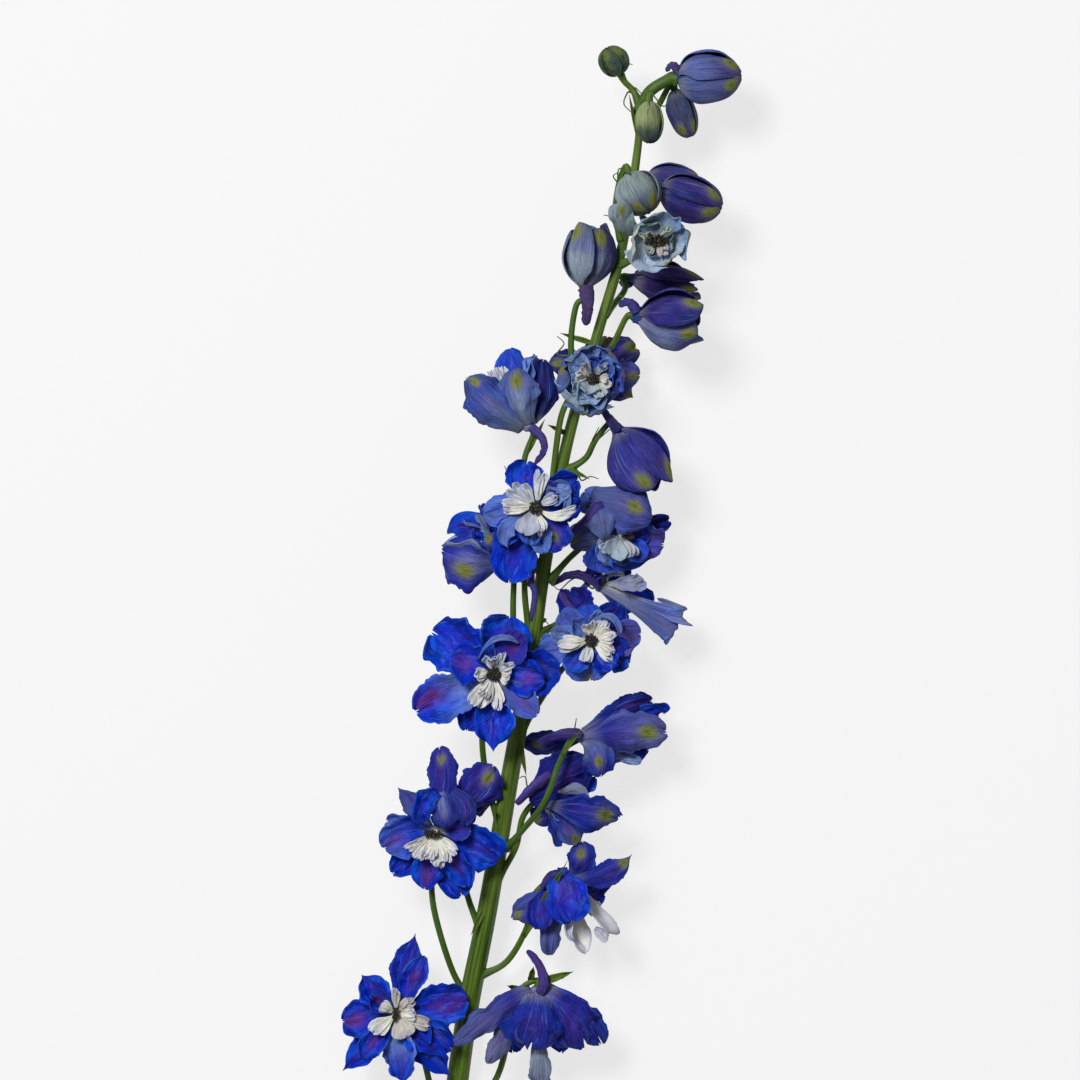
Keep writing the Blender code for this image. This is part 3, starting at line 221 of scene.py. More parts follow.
class Blade:
    """A sepal or petal: a quadratic middle line with a width, cupped across."""

    def __init__(self, node, base, tip, axis, width, bow, cup, claw=CLAW, rests=False):
        self.node = node
        self.root = np.asarray(base, dtype=float)
        self.tip = np.asarray(tip, dtype=float)
        along = self.tip - self.root
        self.length = np.linalg.norm(along)
        self.turn_to(axis)
        steep = max(0.0, float(np.dot(along / self.length, axis)))
        lift = bow[0] + (bow[1] - bow[0]) * steep
        self.middle = self.root + 0.45 * along + lift * self.length * self.face
        self.width = width
        self.cup = cup
        self.claw = claw
        self.rests = rests
        self.look = {}
        self.kind = "petal"

    def turn_to(self, way):
        """Turns the inner side as far to the given way as the blade's run allows."""
        direction = unit(self.tip - self.root)
        face = way - np.dot(way, direction) * direction
        if np.linalg.norm(face) < 0.05:
            face = UP - direction[2] * direction
        self.face = unit(face)
        self.side = np.cross(direction, self.face)

    def pass_through(self, place):
        """Bends the middle line so that it is at the given place halfway."""
        self.middle = 2 * place - 0.5 * (self.root + self.tip)

    def frame(self, t):
        """Points of the middle line, and the ways to the side and to the inner side there."""
        t = np.asarray(t, dtype=float)[..., None]
        line = arc(self.root, self.middle, self.tip, t)
        run = units((1 - t) * (self.middle - self.root) + t * (self.tip - self.middle))
        side = units(self.side - (run @ self.side)[..., None] * run)
        return line, side, np.cross(side, run)

    def outline(self, t):
        """Half width over the greatest half width: a narrow claw, then a rounded tip."""
        rise = np.clip(t / 0.6, 0.0, 1.0)
        grown = self.claw + (1 - self.claw) * rise * rise * (3 - 2 * rise)
        fall = np.clip((t - 0.6) / 0.4, 0.0, 1.0)
        return grown * np.sqrt(1 - fall ** 2.4)

    def place(self, t, s):
        """Points of the blade's middle surface and its normals there, for arrays t and s."""
        t, s = np.asarray(t, dtype=float), np.asarray(s, dtype=float)[:, None]
        line, side, up = self.frame(t)
        half = 0.5 * self.width * self.outline(t)[:, None]
        points = line + side * half * s + up * self.cup * half * s * s
        normals = units(up - 2 * self.cup * s * side)
        if self.rests:
            on_surface = points[:, 2] < REST_BLADE_HEIGHT
            points[on_surface, 2] = REST_BLADE_HEIGHT
            normals[on_surface] = UP * np.where(normals[on_surface, 2:] < 0, -1.0, 1.0)
        else:
            points[:, 2] = np.maximum(points[:, 2], LOW_BLADE_HEIGHT)
        return points, normals


class Bloom:
    """One bloom: its centre, the way it faces, and its blades, spur and stalk."""

    def __init__(self, name, centre, faces, stalk, spur=None, age=1.0):
        self.name = name
        self.centre = np.array(centre, dtype=float)
        self.axis = unit(faces)
        self.stalk = stalk
        self.spur = spur
        self.age = age
        self.blades = []
        self.feet = []
        self.kind = "open"
        self.tip = None
        self.radius = 0.0
        self.stamens = False
        self.details = {}

    def at(self, place):
        """A place whose height is given from the bloom's centre."""
        return np.array([place[0], place[1], self.centre[2] + place[2]])

    def add(self, node, kind, tips, rests=()):
        """Blades from the bloom's middle to the given tips, each held clear of the axis."""
        forward, foot, spread, bow, cup = STARTS[kind]
        for number, (x, y, rise, width, form) in enumerate(tips):
            tip = self.at((x, y, rise))
            via = self.at(form["via"]) if "via" in form else None
            away = (tip if via is None else via) - self.centre
            away -= np.dot(away, self.axis) * self.axis
            short = spread - np.linalg.norm(away)
            if short > 0 and via is None:
                tip += short * unit(away)
            base = self.centre + forward * self.axis + foot * unit(away)
            if "root" in form:
                base = self.at(form["root"])
                self.feet.append(base)
            lies = number in rests
            blade = Blade(node, base, tip, self.axis, width, bow,
                          0.0 if lies else form.get("cup", cup), form.get("claw", CLAW), lies)
            if "face" in form:
                blade.turn_to(form["face"])
            if via is not None:
                blade.pass_through(via)
            blade.kind, blade.look = kind, form
            self.blades.append(blade)

    def back(self, gap):
        """The place behind the receptacle at the given gap."""
        return self.centre - (RECEPTACLE_BACK + gap) * self.axis

    def spur_line(self):
        """The spur's middle line, through the given places or bent once."""
        end = np.array(self.spur, dtype=float)
        stops = [np.array(self.details[key], dtype=float) for key in ("spur_from", "spur_via")
                 if key in self.details]
        away = (stops + [end])[0] - self.centre
        away -= np.dot(away, self.axis) * self.axis
        start = self.centre + SPUR_FOOT * unit(away) - SPUR_SINK * self.axis
        if not stops:
            stops = [start + SPUR_BEND * (end - start) + SPUR_RISE * unit(away)]
        return smooth_path([start] + stops + [end], 2 + 2 * len(stops))


def reach(x, y, rise, width, **form):
    """A blade's tip, seen from above, its height over the bloom's centre, and its form and look."""
    return x, y, rise, width, form


def back_up(*tip, **form):
    """A blade's tip and form, with its outer side up."""
    return reach(*tip, face=OUTSIDE, **form)


def face_up(*tip, **form):
    """A blade's tip and form, with its inner side up."""
    return reach(*tip, face=INSIDE, **form)


def open_bloom(name, centre, faces, stalk, sepals, petals=(), bee=(), spur=None, stamens=True,
               rests=(), age=1.0, **details):
    """A bloom whose inner parts show: sepals and blue petals, the white bee and the stamens."""
    bloom = Bloom(name, centre, faces, stalk, spur, age)
    bloom.add(f"{name}_sepals", "sepal", sepals, rests)
    bloom.add(f"{name}_sepals", "petal", petals)
    bloom.add(f"{name}_bee", "bee", bee)
    bloom.stamens, bloom.details = stamens, details
    return bloom


def turned_away(name, centre, faces, stalk, sepals):
    """A bloom that shows only the backs of its sepals: one node, with nothing pale inside."""
    bloom = Bloom(name, centre, faces, stalk)
    bloom.add(name, "sepal", sepals)
    bloom.kind = "turned"
    return bloom


def young_bloom(name, base, tip, radius, stalk, flare, spur, turn, age, **details):
    """A bloom still half closed: five sepals round a core."""
    base, tip = np.array(base, dtype=float), np.array(tip, dtype=float)
    axis = unit(tip - base)
    length = np.linalg.norm(tip - base)
    bloom = Bloom(name, base, axis, stalk, spur, age)
    bloom.kind, bloom.tip, bloom.radius, bloom.details = "young", tip, radius, details
    for k, out in enumerate(five_ways(axis, turn)):
        far = length * (1.0 - 0.07 * (k % 3))
        end = base + far * axis + (flare * radius) * out
        blade = Blade(name, base + CLAW_FOOT * out, end, axis, 1.12 * radius, SEPAL_BOW, YOUNG_CUP)
        blade.turn_to(-out)
        blade.middle = base + 0.42 * length * axis + (1.50 + 0.16 * (k % 2)) * radius * out
        bloom.blades.append(blade)
    return bloom


def bud(name, base, tip, radius, stalk, age, spur=None, **details):
    """A closed bud, wrapped in five sepals."""
    base, tip = np.array(base, dtype=float), np.array(tip, dtype=float)
    bloom = Bloom(name, base, tip - base, stalk, spur, age)
    bloom.kind, bloom.tip, bloom.radius, bloom.details = "bud", tip, radius, details
    return bloom


# Every bloom from the tip of the spike down: its centre, or its foot and tip, the way it faces and
# the places that its stalk passes, then its blades. A blade may pass a place (via) and start away
# from the centre (root). Its ends, claw, belly, cup, fold and curl shape it. Age, violet, navy,
# pale, cream, tan, blue, green, blush, streak and eye say how strong each of its colours is; blue on
# a white petal is a bluish painted shade.
BLOOMS = [
    bud("bud_1", (31.6, 403.6, 33), (26.6, 412.6, 35.5), 5.7,
        [(40.3, 389), (37.5, 395.5), (34, 400.5)], age=0.03, eye=0.7),
    bud("bud_2", (43.6, 389.6, 39.5), (44, 374.4, 41), 5.3, [(40.3, 388), (41.4, 392.6)], age=0,
        pale=0.8, tip_navy=0.75, eye=0),
    bud("bud_3", (56.5, 400.6, 35), (80.4, 401.8, 36), 10.2, [(40.2, 386), (43.5, 395), (49, 400.4)],
        spur=(50.4, 403.4, 37), age=0.56, belly=0.42, stalk_radius=2.2, pale=0.25, tip_navy=0.5),
    bud("bud_4", (54.4, 395.4, 25), (60.4, 378, 24), 5.4, [(39.8, 380), (46.5, 388.5), (52, 396.5)],
        age=0.3, navy=0.35),
    bud("bud_5", (36.2, 360.6, 43.5), (43.4, 346.4, 46.5), 8.4,
        [(32.8, 336), (30.2, 346), (31.2, 357)], age=0.24, pale=0.75),
    bud("bud_6", (44.6, 361.6, 24), (64.2, 359.2, 23), 6.3, [(37.6, 362), (40.6, 362.6)], age=0.5,
        violet=0.2, navy=0.35),
    bud("bud_7", (49.6, 355.8, 36), (72.4, 348.6, 38), 8.9, [(37.2, 354.5), (43, 356.4)], age=0.66,
        navy=0.6),
    young_bloom("young_1", (18, 317.6, 33), (20.2, 343, 36), 9.6,
        [(16.2, 272), (12.4, 292), (14.2, 309)], 0.62, (18.2, 302, 37), 0.2, age=0.42, pale=0.7,
        dark_side=0.85, spur_radius=3.1, spur_navy=0.9, open_end=0.25),
    young_bloom("young_2", (38, 321.4, 17), (65.4, 317.6, 16), 8, [(25.6, 306), (34, 316.5)], 0.45,
        (32.4, 320.4, 14), 0.1, age=0.6, navy=0.7, violet=0.3),
    young_bloom("young_3", (39.4, 304.8, 38), (65.4, 304, 40), 10.2,
        [(19.4, 285), (28, 292.5), (34.4, 301)], 0.8, (31.6, 309.4, 40), 0.35, age=0.72, violet=0.1,
        navy=0.5, pale_low=0.7, spur_radius=2.3, open_end=0.45),
    turned_away("young_4", (24, 284.6, 15), (0.15, -0.1, -1), [(18.4, 281)],
        [back_up(3.4, 287, 4, 12, via=(13, 287, 6), violet=0.6, navy=0.5),
         back_up(27, 298.6, 3, 14, via=(25, 292, 5), navy=0.7),
         back_up(39.4, 293.6, 2, 15, via=(32, 290, 5), navy=0.75, eye_at=(0.92, 0.2), eye_size=2.6),
         back_up(40, 282.4, 3, 15, via=(33, 282, 6), violet=0.35, pale=0.2),
         back_up(38, 273, 1, 10, via=(32, 277, 3), navy=0.6, ends="point")]),
    young_bloom("young_5", (31.4, 259.6, 33), (48.6, 235.6, 36), 11,
        [(8.6, 243), (18, 248.6), (22.4, 256.4)], 0.62, (24.6, 268.6, 38), 0.15, age=0.78,
        violet=0.15, navy=0.2, pale_low=0.6, spur_radius=2.3, spur_navy=0.6, open_end=0.6),
    turned_away("young_6", (-33, 106.6, 21), (0.3, 0.85, -0.4), [(-23.4, 57), (-29, 72), (-33, 90)],
        [back_up(-18.6, 126, 3, 18, via=(-25, 116, 7), violet=0.35, eye_at=(0.78, -0.1),
             eye_size=2.4),
         back_up(-29.4, 118.6, 2, 8, via=(-31, 113, 5), eye_at=(0.85, 0)),
         back_up(-20, 110.6, -1, 12, via=(-26, 110, 1), navy=0.6),
         face_up(-36, 96, -6, 12, navy=0.3)]),
    open_bloom("floret_01", (46, 335.6, 46), (0.05, -0.15, 1), [(31, 326), (38, 329)],
        [reach(49.4, 346, 8, 17, via=(48.8, 343.6, 2), pale=0.6, eye_at=(0.8, 0.1), claw=0.6),
         reach(58, 339.4, 7, 16, via=(56, 337, 1), pale=0.45, eye_at=(0.9, 0), claw=0.5),
         reach(51.4, 326.6, 6, 16, via=(51, 328.4, 1), pale=0.9, cream=0.3, age=0.05,
             eye_at=(0.95, 0), claw=0.6),
         reach(41.6, 323.6, 7, 17, via=(41.6, 327, 2), pale=1, cream=0.35, eye_at=(0.95, 0),
             claw=0.6),
         reach(38.4, 335.6, 8, 18, via=(38, 335, 2), pale=0.95, cream=0.5, age=0.1, eye=0, claw=0.6),
         back_up(33.6, 351, 0, 10, root=(38, 338, -3), via=(32.6, 343.4, 2), pale=(1, 0.7), age=0.3,
             eye_at=(0.74, 0), claw=0.7)],
        petals=[reach(41, 343, 8, 9, via=(42, 340, 4), age=0, pale=0.5),
                reach(47.6, 343.4, 8, 8, via=(46.6, 340.4, 4), age=0.1, pale=0.6),
                reach(54.6, 333, 7, 8, age=0.05, pale=0.2),
                reach(43.6, 326.8, 6, 7, age=0.35, pale=0.5)],
        bee=[reach(39.6, 337.6, 5, 5, green=0.8), reach(51.8, 340.6, 5, 5, green=0.7, blue=0.3),
             reach(42.4, 329.4, 5, 4, green=0.8), reach(49.8, 329.6, 4, 6, tan=0.5)],
        spur=(41, 345, 33), age=0.2, anthers=(5, 2.2)),
    open_bloom("floret_02", (21.4, 280.6, 46), (-0.05, -0.1, 1),
        [(3.6, 226), (5.4, 244), (8.6, 266), (15, 276.6)],
        [reach(9.4, 284.4, 9, 14, via=(8.4, 282, 2), age=0.6, pale=0.15, eye_at=(0.88, 0), claw=0.5),
         reach(12.6, 271.8, 9, 19, via=(11.8, 271.6, 2), age=0.4, pale=0.85, eye=0, claw=0.5),
         reach(19.8, 265.6, 7, 19, via=(19, 267.4, 1), age=0.5, pale=0.4, eye_at=(0.92, 0.2),
             claw=0.5),
         reach(29, 272, 6, 16, via=(28.4, 272.4, 0), age=0.6, violet=0.4, eye=0, claw=0.5),
         reach(32, 283, 8, 14, via=(31.4, 281.6, 1), age=0.6, violet=0.2, claw=0.5),
         reach(27, 291, 8, 13, via=(27, 289.6, 1), age=0.5, pale=0.4, eye_at=(0.9, 0.4), claw=0.5),
         reach(15.6, 291.6, 8, 17, via=(16.4, 290, 2), age=0.5, pale=0.5, blush=0.3, eye=0,
             claw=0.5)],
        petals=[reach(11.6, 286.6, 7, 8, age=0.4, pale=0.5),
                reach(13, 274, 9, 11, age=0.15, pale=0.9), reach(21, 289.8, 6, 8, age=0.7),
                reach(29.6, 286, 6, 8, age=0.55, pale=0.2),
                reach(25.4, 270.6, 5, 9, age=0.45, pale=0.4),
                reach(16.6, 269.6, 10, 12, age=0.1, pale=0.9, fold=0.9),
                reach(13.6, 289, 8, 8, age=0.45, pale=0.5), reach(21.6, 290, 8, 7, age=0.6),
                reach(23.6, 267.6, 8, 9, age=0.3, pale=0.6),
                reach(29.8, 276.4, 5, 7, age=0.5, violet=0.3, blush=0.4)],
        bee=[reach(13.4, 283, 8, 7), reach(17, 288.4, 5, 4, tan=0.3, blue=1),
             reach(18.4, 273.6, 4, 9, green=0.4, blue=0.9), reach(29, 279, 7, 6, tan=0.2),
             reach(26.6, 286.6, 5, 4, green=0.4, blue=0.9),
             reach(25, 272.6, 5, 6, green=0.4, blue=0.5)],
        spur=(28, 293, 36), age=0.45, anthers=(2.4, 2.2)),
    open_bloom("floret_03", (-5, 262.4, 34), (-0.45, 0.8, 0.3),
        [(-0.6, 203), (-5.6, 222), (-6.6, 246)],
        [back_up(-11, 284.4, 8, 18, via=(-8.4, 272, 11), age=0.62, pale=(0.35, 0.2),
             eye_at=(0.8, -0.1), eye_size=2.8, streak=0.7, claw=0.3),
         back_up(-29.8, 281, 5, 18, via=(-18.4, 269, 11), age=0.75, eye_at=(0.92, -0.3), claw=0.4,
             pale=(0.3, 0), streak=0.3),
         back_up(1.2, 288, 0, 12, via=(0.8, 273, 4), navy=0.65, eye=0, claw=0.3),
         reach(-11.6, 293, -3, 15, via=(-9, 279, -2), navy=(0.5, 0), claw=0.3),
         reach(-29.8, 281.6, -2, 15, via=(-19, 274, -1), age=0.5, pale=(0.2, 0.6), claw=0.3),
         reach(-2, 290.6, -7, 12, via=(-3, 277, -5), age=0.7, pale=0.2)],
        petals=[reach(-2.6, 290.4, 0, 8, via=(-4, 278, 2), age=0.7, pale=0.4, ends="ragged"),
                reach(-6.4, 289.6, 3, 7, via=(-6, 277, 3), age=0.6, pale=0.5, ends="ragged")],
        bee=[reach(-17.6, 286.4, 0, 8, via=(-13, 274.6, -1.5), ends="ragged"),
             reach(-22.6, 281.6, 0, 7, via=(-15, 272, 0), ends="ragged")],
        spur=(-2, 246.4, 37), spur_via=(2.2, 254, 38), age=0.8),
    open_bloom("floret_04", (-1.6, 229.2, 50), (0, -0.05, 1),
        [(-4.2, 171), (-5.2, 184), (-6.2, 200), (-3.6, 218)],
        [reach(-5, 247.4, -2, 15, via=(-5.6, 239, -1), ends="notch"),
         reach(15.6, 240.4, -2, 14, navy=0.3), reach(15.8, 229.6, -4, 13, navy=0.2),
         reach(9.4, 212.6, -3, 14, violet=0.3, blush=0.5, eye_front=1, eye_at=(0.68, 0.1)),
         reach(-12, 198.6, -5, 20, via=(-9, 214, -4), navy=(0.5, 0)),
         reach(-22, 227, -2, 13, pale=(0.1, 0.35), age=0.9)],
        petals=[reach(-17.4, 215, 2, 11, blush=0.3),
                reach(-12.6, 212.2, 5, 7, via=(-13, 220.6, 6), age=0.7, pale=0.4, ends="point"),
                reach(-4.4, 213.6, 3, 9, age=0.8, pale=(0.4, 0.1)),
                reach(1.6, 210.4, 1, 9, age=0.7, pale=0.3),
                reach(6, 239.4, 5, 8, violet=0.7, age=0.8),
                reach(12.6, 236.6, 4, 7, pale=0.6, age=0.6),
                reach(8.8, 226.2, 3, 3, root=(1.6, 236.6, 3), via=(10.2, 234, 4), pale=0.6,
                    violet=0.3, age=0.6),
                reach(11.4, 238.6, 3, 8, violet=0.5, pale=0.3, age=0.75)],
        bee=[reach(-15.4, 229.2, 6, 7), reach(-12.6, 237.6, 5, 7, blue=0.5),
             reach(-8.4, 238.6, 4, 6, blue=0.5), reach(0.8, 244.2, 4, 6, blue=0.3),
             reach(7.2, 233.4, 4, 5, blue=0.6), reach(14.2, 228.6, 4, 5, via=(6, 225.6, 5)),
             reach(1.6, 217.4, 4, 5), reach(-6.6, 218, 4, 9, blue=0.8, tan=0.3)],
        spur=(-3.5, 183.6, 41), spur_via=(-2, 194, 42), spur_from=(-3.6, 203, 40), spur_radius=1.7,
        anthers=(2.6, 2.8)),
    open_bloom("floret_05", (-15, 209.4, 32), (-0.85, 0.35, 0),
        [(-7.4, 150), (-10.4, 174), (-10.8, 190), (-9.6, 203)],
        [back_up(-39.4, 212, 4, 24, via=(-27, 206.8, 10), eye_at=(0.6, 0.3), eye_size=3.2,
             streak=0.5, violet=0.15, claw=0.3),
         back_up(-21.6, 218.6, 8, 11, via=(-18.6, 213.4, 9), age=0.8, eye_at=(0.86, 0), claw=0.4),
         reach(-22, 231, -6, 16, via=(-18.6, 221, -4), navy=0.6, ends="ragged", claw=0.3),
         reach(-37.6, 219, -3, 15, via=(-24.6, 220.4, -2), navy=0.3, claw=0.4),
         reach(-27, 206, -43, 15)],
        petals=[reach(-39, 214.6, 1, 11, via=(-27.6, 212.6, 6), pale=0.7, age=0.6, ends="ragged"),
                reach(-25.4, 226, 0, 9, via=(-20, 219, 3), pale=0.6, age=0.6),
                reach(-30, 223.4, -4, 7, via=(-22.6, 218.6, -2), pale=0.4, violet=0.4, age=0.6)],
        bee=[reach(-29, 214, -5, 7), reach(-27, 208, -7, 7)],
        stamens=False, rests=(4,)),
    open_bloom("floret_06", (32.4, 218, 31), (0.2, -0.15, 1), [(3.2, 199), (12, 209), (22, 217)],
        [back_up(44, 224.6, 6, 20, root=(20, 233, 0), via=(33, 229, 9), age=0.78, violet=0.3,
             pale=(0.25, 0.1), eye_at=(0.68, 0.2), eye_size=2.8, claw=0.5),
         back_up(26, 217.6, 7, 14, root=(23, 232, 1), via=(25, 225, 9), age=0.7, pale=0.3, eye=0,
             claw=0.5),
         reach(17.4, 236, -4, 13, via=(24, 229, -2), age=0.7, pale=0.25, claw=0.4),
         back_up(11, 214, -3, 14, via=(20, 218, 0), age=0.75, pale=0.3, eye_at=(0.88, -0.1),
             claw=0.4),
         reach(24.6, 202, -6, 19, via=(26, 209, -5), pale=(0, 0.15)),
         reach(35, 203.6, -3, 16, via=(34, 210, -2), pale=0.1),
         reach(49.8, 214, -3, 15, violet=0.3, tan=0.25, ends="ragged"),
         reach(52.2, 224, -5, 10, navy=0.8)],
        petals=[reach(43.6, 218, 2, 10, navy=0.2, violet=0.3), reach(42, 208, 1, 10, pale=0.1),
                reach(24, 207, 2, 12, pale=0.5, age=0.6),
                reach(32, 205.6, 3, 12, pale=0.35, age=0.6)],
        bee=[reach(27.6, 209.8, 7, 11, blue=0.9, green=0.4),
             reach(37.4, 209.4, 5, 7, tan=0.2, blue=0.5), reach(22, 213.6, 6, 7, blue=0.9)],
        spur=(11.6, 218.6, 34), spur_via=(18, 223, 37), spur_from=(24, 229.4, 36), spur_radius=2.8,
        anthers=(1.6, 0.9), anthers_at=(3, 0)),
    open_bloom("floret_07", (25, 197.6, 16), (0.85, -0.35, 0.15),
        [(-1, 178), (9, 184), (14.4, 193), (20, 199.6)],
        [back_up(37.4, 199.6, 5, 13, via=(30, 199.4, 8), violet=0.4, eye=0),
         back_up(42.6, 187, 6, 15, via=(32, 190.6, 9), age=0.75, pale=0.3, violet=0.3,
             eye_at=(0.84, 0)),
         reach(36.4, 181.4, 2, 13, via=(31, 188.4, 3), age=0.85, navy=0.3), reach(45, 190, -28, 15),
         reach(38, 205, -6, 13, navy=0.6, violet=0.3)],
        petals=[face_up(45, 203.4, 6, 8, via=(38, 202, 8), ends="ragged", blush=0.9,
                    blush_at=(0.9, 0), curl=0.3, fold=1, cream=0.25),
                face_up(45.4, 198, 8, 7, via=(38, 197.6, 10), age=0.8, ends="ragged", violet=0.3,
                    curl=0.3, fold=1, cream=0.5),
                face_up(44.6, 192.8, 6, 7, via=(38, 193, 9), ends="ragged", blush=1,
                    blush_at=(0.8, 0.2), curl=0.3, fold=0.9, cream=0.3),
                face_up(41, 204.6, 3, 8, via=(34, 202.6, 6), navy=0.2, fold=0.6)],
        bee=[reach(41.4, 195, 7, 6, ends="ragged", blue=0.4, tan=0.2),
             reach(42, 200, 7, 6, ends="ragged", blue=0.5)],
        stamens=False, spur=(4.6, 198, 21), spur_via=(14, 202.4, 24), spur_radius=2.2, rests=(3,)),
    open_bloom("floret_08", (20.4, 175.8, 43), (0, 0.05, 1),
        [(-8.4, 138), (-1, 150), (7, 162), (15.6, 171.4)],
        [reach(-2, 170.4, -2, 13, pale=0.25, violet=0.2, age=0.8, ends="ragged"),
         reach(20, 159.4, -1, 20, via=(19, 168, 0), age=0.85, pale=0.2, blush=0.6,
             blush_at=(0.5, 0.2), eye_front=0.8, eye_at=(0.96, 0.1)),
         reach(35.6, 166.6, -3, 13, age=0.85), reach(40.2, 178.6, -3, 14, tan=0.35, blush=0.4),
         reach(31.6, 190.2, -4, 13, navy=0.7), reach(18.8, 190.6, -3, 11, age=0.8),
         reach(8.4, 186.6, -4, 11, violet=0.3, pale=0.2),
         reach(11.6, 196.4, -16, 15, navy=0.7, violet=0.3)],
        petals=[reach(3.8, 179, 2, 9, pale=0.5, violet=0.3, age=0.7),
                reach(11.6, 164, 3, 11, age=0.8), reach(28.6, 163.8, 3, 11, blush=0.4),
                reach(35, 172.6, 2, 9, violet=0.3),
                reach(30.6, 179, 8, 3, root=(20.6, 184, 5), via=(28, 185.6, 8), pale=0.5, violet=0.3,
                    age=0.7),
                reach(25, 188.6, 6, 8, pale=0.5, violet=0.2, age=0.6),
                reach(13, 184.6, 5, 8, pale=0.3, age=0.7)],
        bee=[reach(7, 174.4, 7, 8, ends="notch"), reach(19.2, 184.6, 7, 6), reach(31.6, 178.6, 7, 7),
             reach(26.6, 184.4, 6, 5), reach(29.4, 169.8, 7, 7), reach(17.6, 167, 6, 6, blue=0.3)],
        spur=(8, 195, 30), spur_radius=2.4, anthers=(2.4, 2.6)),
    open_bloom("floret_09", (-18.2, 162.8, 47), (-0.05, 0, 1),
        [(-15.6, 98), (-21, 118), (-23.2, 137), (-21, 156)],
        [reach(-43.6, 179.6, -3, 22, via=(-31, 172, -1), ends="ragged"),
         reach(-12, 186, -4, 22, via=(-14.6, 175, -2)), reach(7.6, 163.6, -5, 18, navy=0.35),
         reach(-18.5, 132, -3, 17, via=(-18.6, 146, 0), ends="point"), reach(-29.4, 140, -6, 14),
         reach(-49.8, 147.4, -3, 19, via=(-34, 155, 0), pale=(0.6, 0), blush=0.9,
             blush_at=(0.86, 0.3))],
        petals=[reach(-35.6, 168.6, 3, 17, via=(-27, 166.6, 4), blush=0.8, blush_at=(0.72, 0)),
                reach(-6.8, 179.6, 6, 14, violet=0.75, blush=0.5, blush_at=(0.7, 0)),
                reach(2, 160.2, 4, 15, blush=0.7, blush_at=(0.7, 0)),
                reach(-0.8, 146.4, 3, 12, violet=0.4, pale=0.2, blush=0.7),
                reach(-8, 175, 8, 2.6, root=(-24.6, 168.6, 4), via=(-17.4, 177, 8), pale=0.45,
                    violet=0.5, age=0.8)],
        bee=[reach(-26.8, 162.6, 8, 6, fold=0.1), reach(-27.4, 148.4, 6, 8, fold=0.1),
             reach(-16, 148.6, 6, 6, fold=0.2), reach(-9.8, 160.6, 8, 7, fold=0.2),
             reach(-20.6, 171, 8, 6, blue=0.5), reach(-15.4, 171.4, 8, 5, blue=0.6),
             reach(-21.6, 151, 7, 4, blue=0.4, tan=0.4), reach(-10.8, 167.4, 8, 4, blue=0.4),
             reach(-24.4, 153.6, 7, 4)],
        spur=(-26, 178, 33), anthers=(2.8, 2.8)),
    open_bloom("floret_10", (17.6, 137.4, 28), (0.9, 0.15, 0.2),
        [(-13.4, 92), (-4.4, 103, 34), (0, 108.6, 41), (4.2, 117, 44), (7, 125.6, 43),
         (10.2, 134, 36)],
        [back_up(51.2, 138.4, 3, 18, via=(34, 139.2, 8), violet=0.35, eye_at=(0.78, 0), eye_size=3.4,
             pale=(0, 0.25)),
         back_up(45.4, 151.4, -3, 10, via=(33, 148, 2), navy=(0, 0.7), eye=0),
         back_up(24.2, 121.4, 2, 15, via=(22.6, 130.6, 6), pale=(0.5, 0), eye_at=(0.7, 0)),
         back_up(-7.4, 134.6, -6, 10, via=(5, 134.4, -5), navy=0.3, eye_at=(0.75, 0)),
         reach(44, 130.6, -8, 14, violet=0.3), reach(39, 146.6, -9, 13, navy=0.4)],
        petals=[reach(42.6, 126.6, -2, 8, via=(33, 131, -1), pale=0.5, tan=0.4, ends="ragged"),
                reach(48.4, 146.2, -2, 7, via=(36, 146, -3), navy=(0, 0.4), ends="ragged")],
        bee=[reach(31, 142, -4, 6), reach(31, 137, -5, 6)],
        stamens=False, spur=(-1.4, 135, 32), spur_via=(8, 138.4, 34), spur_radius=2.3),
    open_bloom("floret_11", (3, 111, 31), (0.85, -0.1, 0.3), [(-18, 78), (-10, 92), (-7, 104.6)],
        [back_up(20, 129, 1, 20, root=(-4, 112, 4), via=(8, 120, 6), navy=0.45, violet=0.2,
             claw=0.45, eye=0),
         back_up(32.4, 105, 2, 15, via=(17.6, 107.6, 11), eye_at=(0.8, 0), eye_size=3),
         back_up(15.2, 94.2, 0, 11, via=(10, 102, 3), pale=(0, 0.2), eye_at=(0.9, 0)),
         reach(23, 121.4, -4, 14, via=(13, 117, -2), blush=0.3), reach(8, 93.6, -10, 13, navy=0.3),
         back_up(-2.6, 103.4, -3, 10, violet=0.2)],
        petals=[reach(17, 110.6, 8, 5, via=(14, 116, 7), pale=0.35, age=0.7, cream=0.2),
                reach(7, 102.4, 4, 6, pale=0.5, age=0.7)],
        bee=[reach(13.6, 112, 0, 5), reach(14.6, 106.6, -2, 5), reach(13, 114.6, -4, 5)],
        spur=(-9.4, 110.6, 36), spur_via=(-2, 118, 38), spur_from=(4, 121, 34), spur_radius=3),
    open_bloom("floret_12", (-41.6, 99.4, 36), (-0.1, -0.25, 0.95),
        [(-28.4, 30), (-36, 44), (-43, 70), (-42.6, 90)],
        [back_up(-40.4, 133.6, -5, 12, via=(-39, 119, -1), violet=0.35, eye_at=(0.82, 0)),
         back_up(-57, 117, -5, 9, via=(-50, 109, -3), pale=0.2, eye=0, ends="point"),
         reach(-62.4, 92.4, 1, 18, via=(-53, 98, 4), pale=(0, 0.15), blush=0.6, blush_at=(0.85, 0)),
         reach(-31, 73.4, -6, 15), reach(-16, 88, -3, 20, via=(-27, 95, -1)),
         reach(-61.6, 103.4, -7, 11, pale=0.3, age=0.85),
         reach(-46.4, 76, -2, 13, blush=0.7, blush_at=(0.75, 0)),
         reach(-59, 82.8, -5, 12, navy=0.2)],
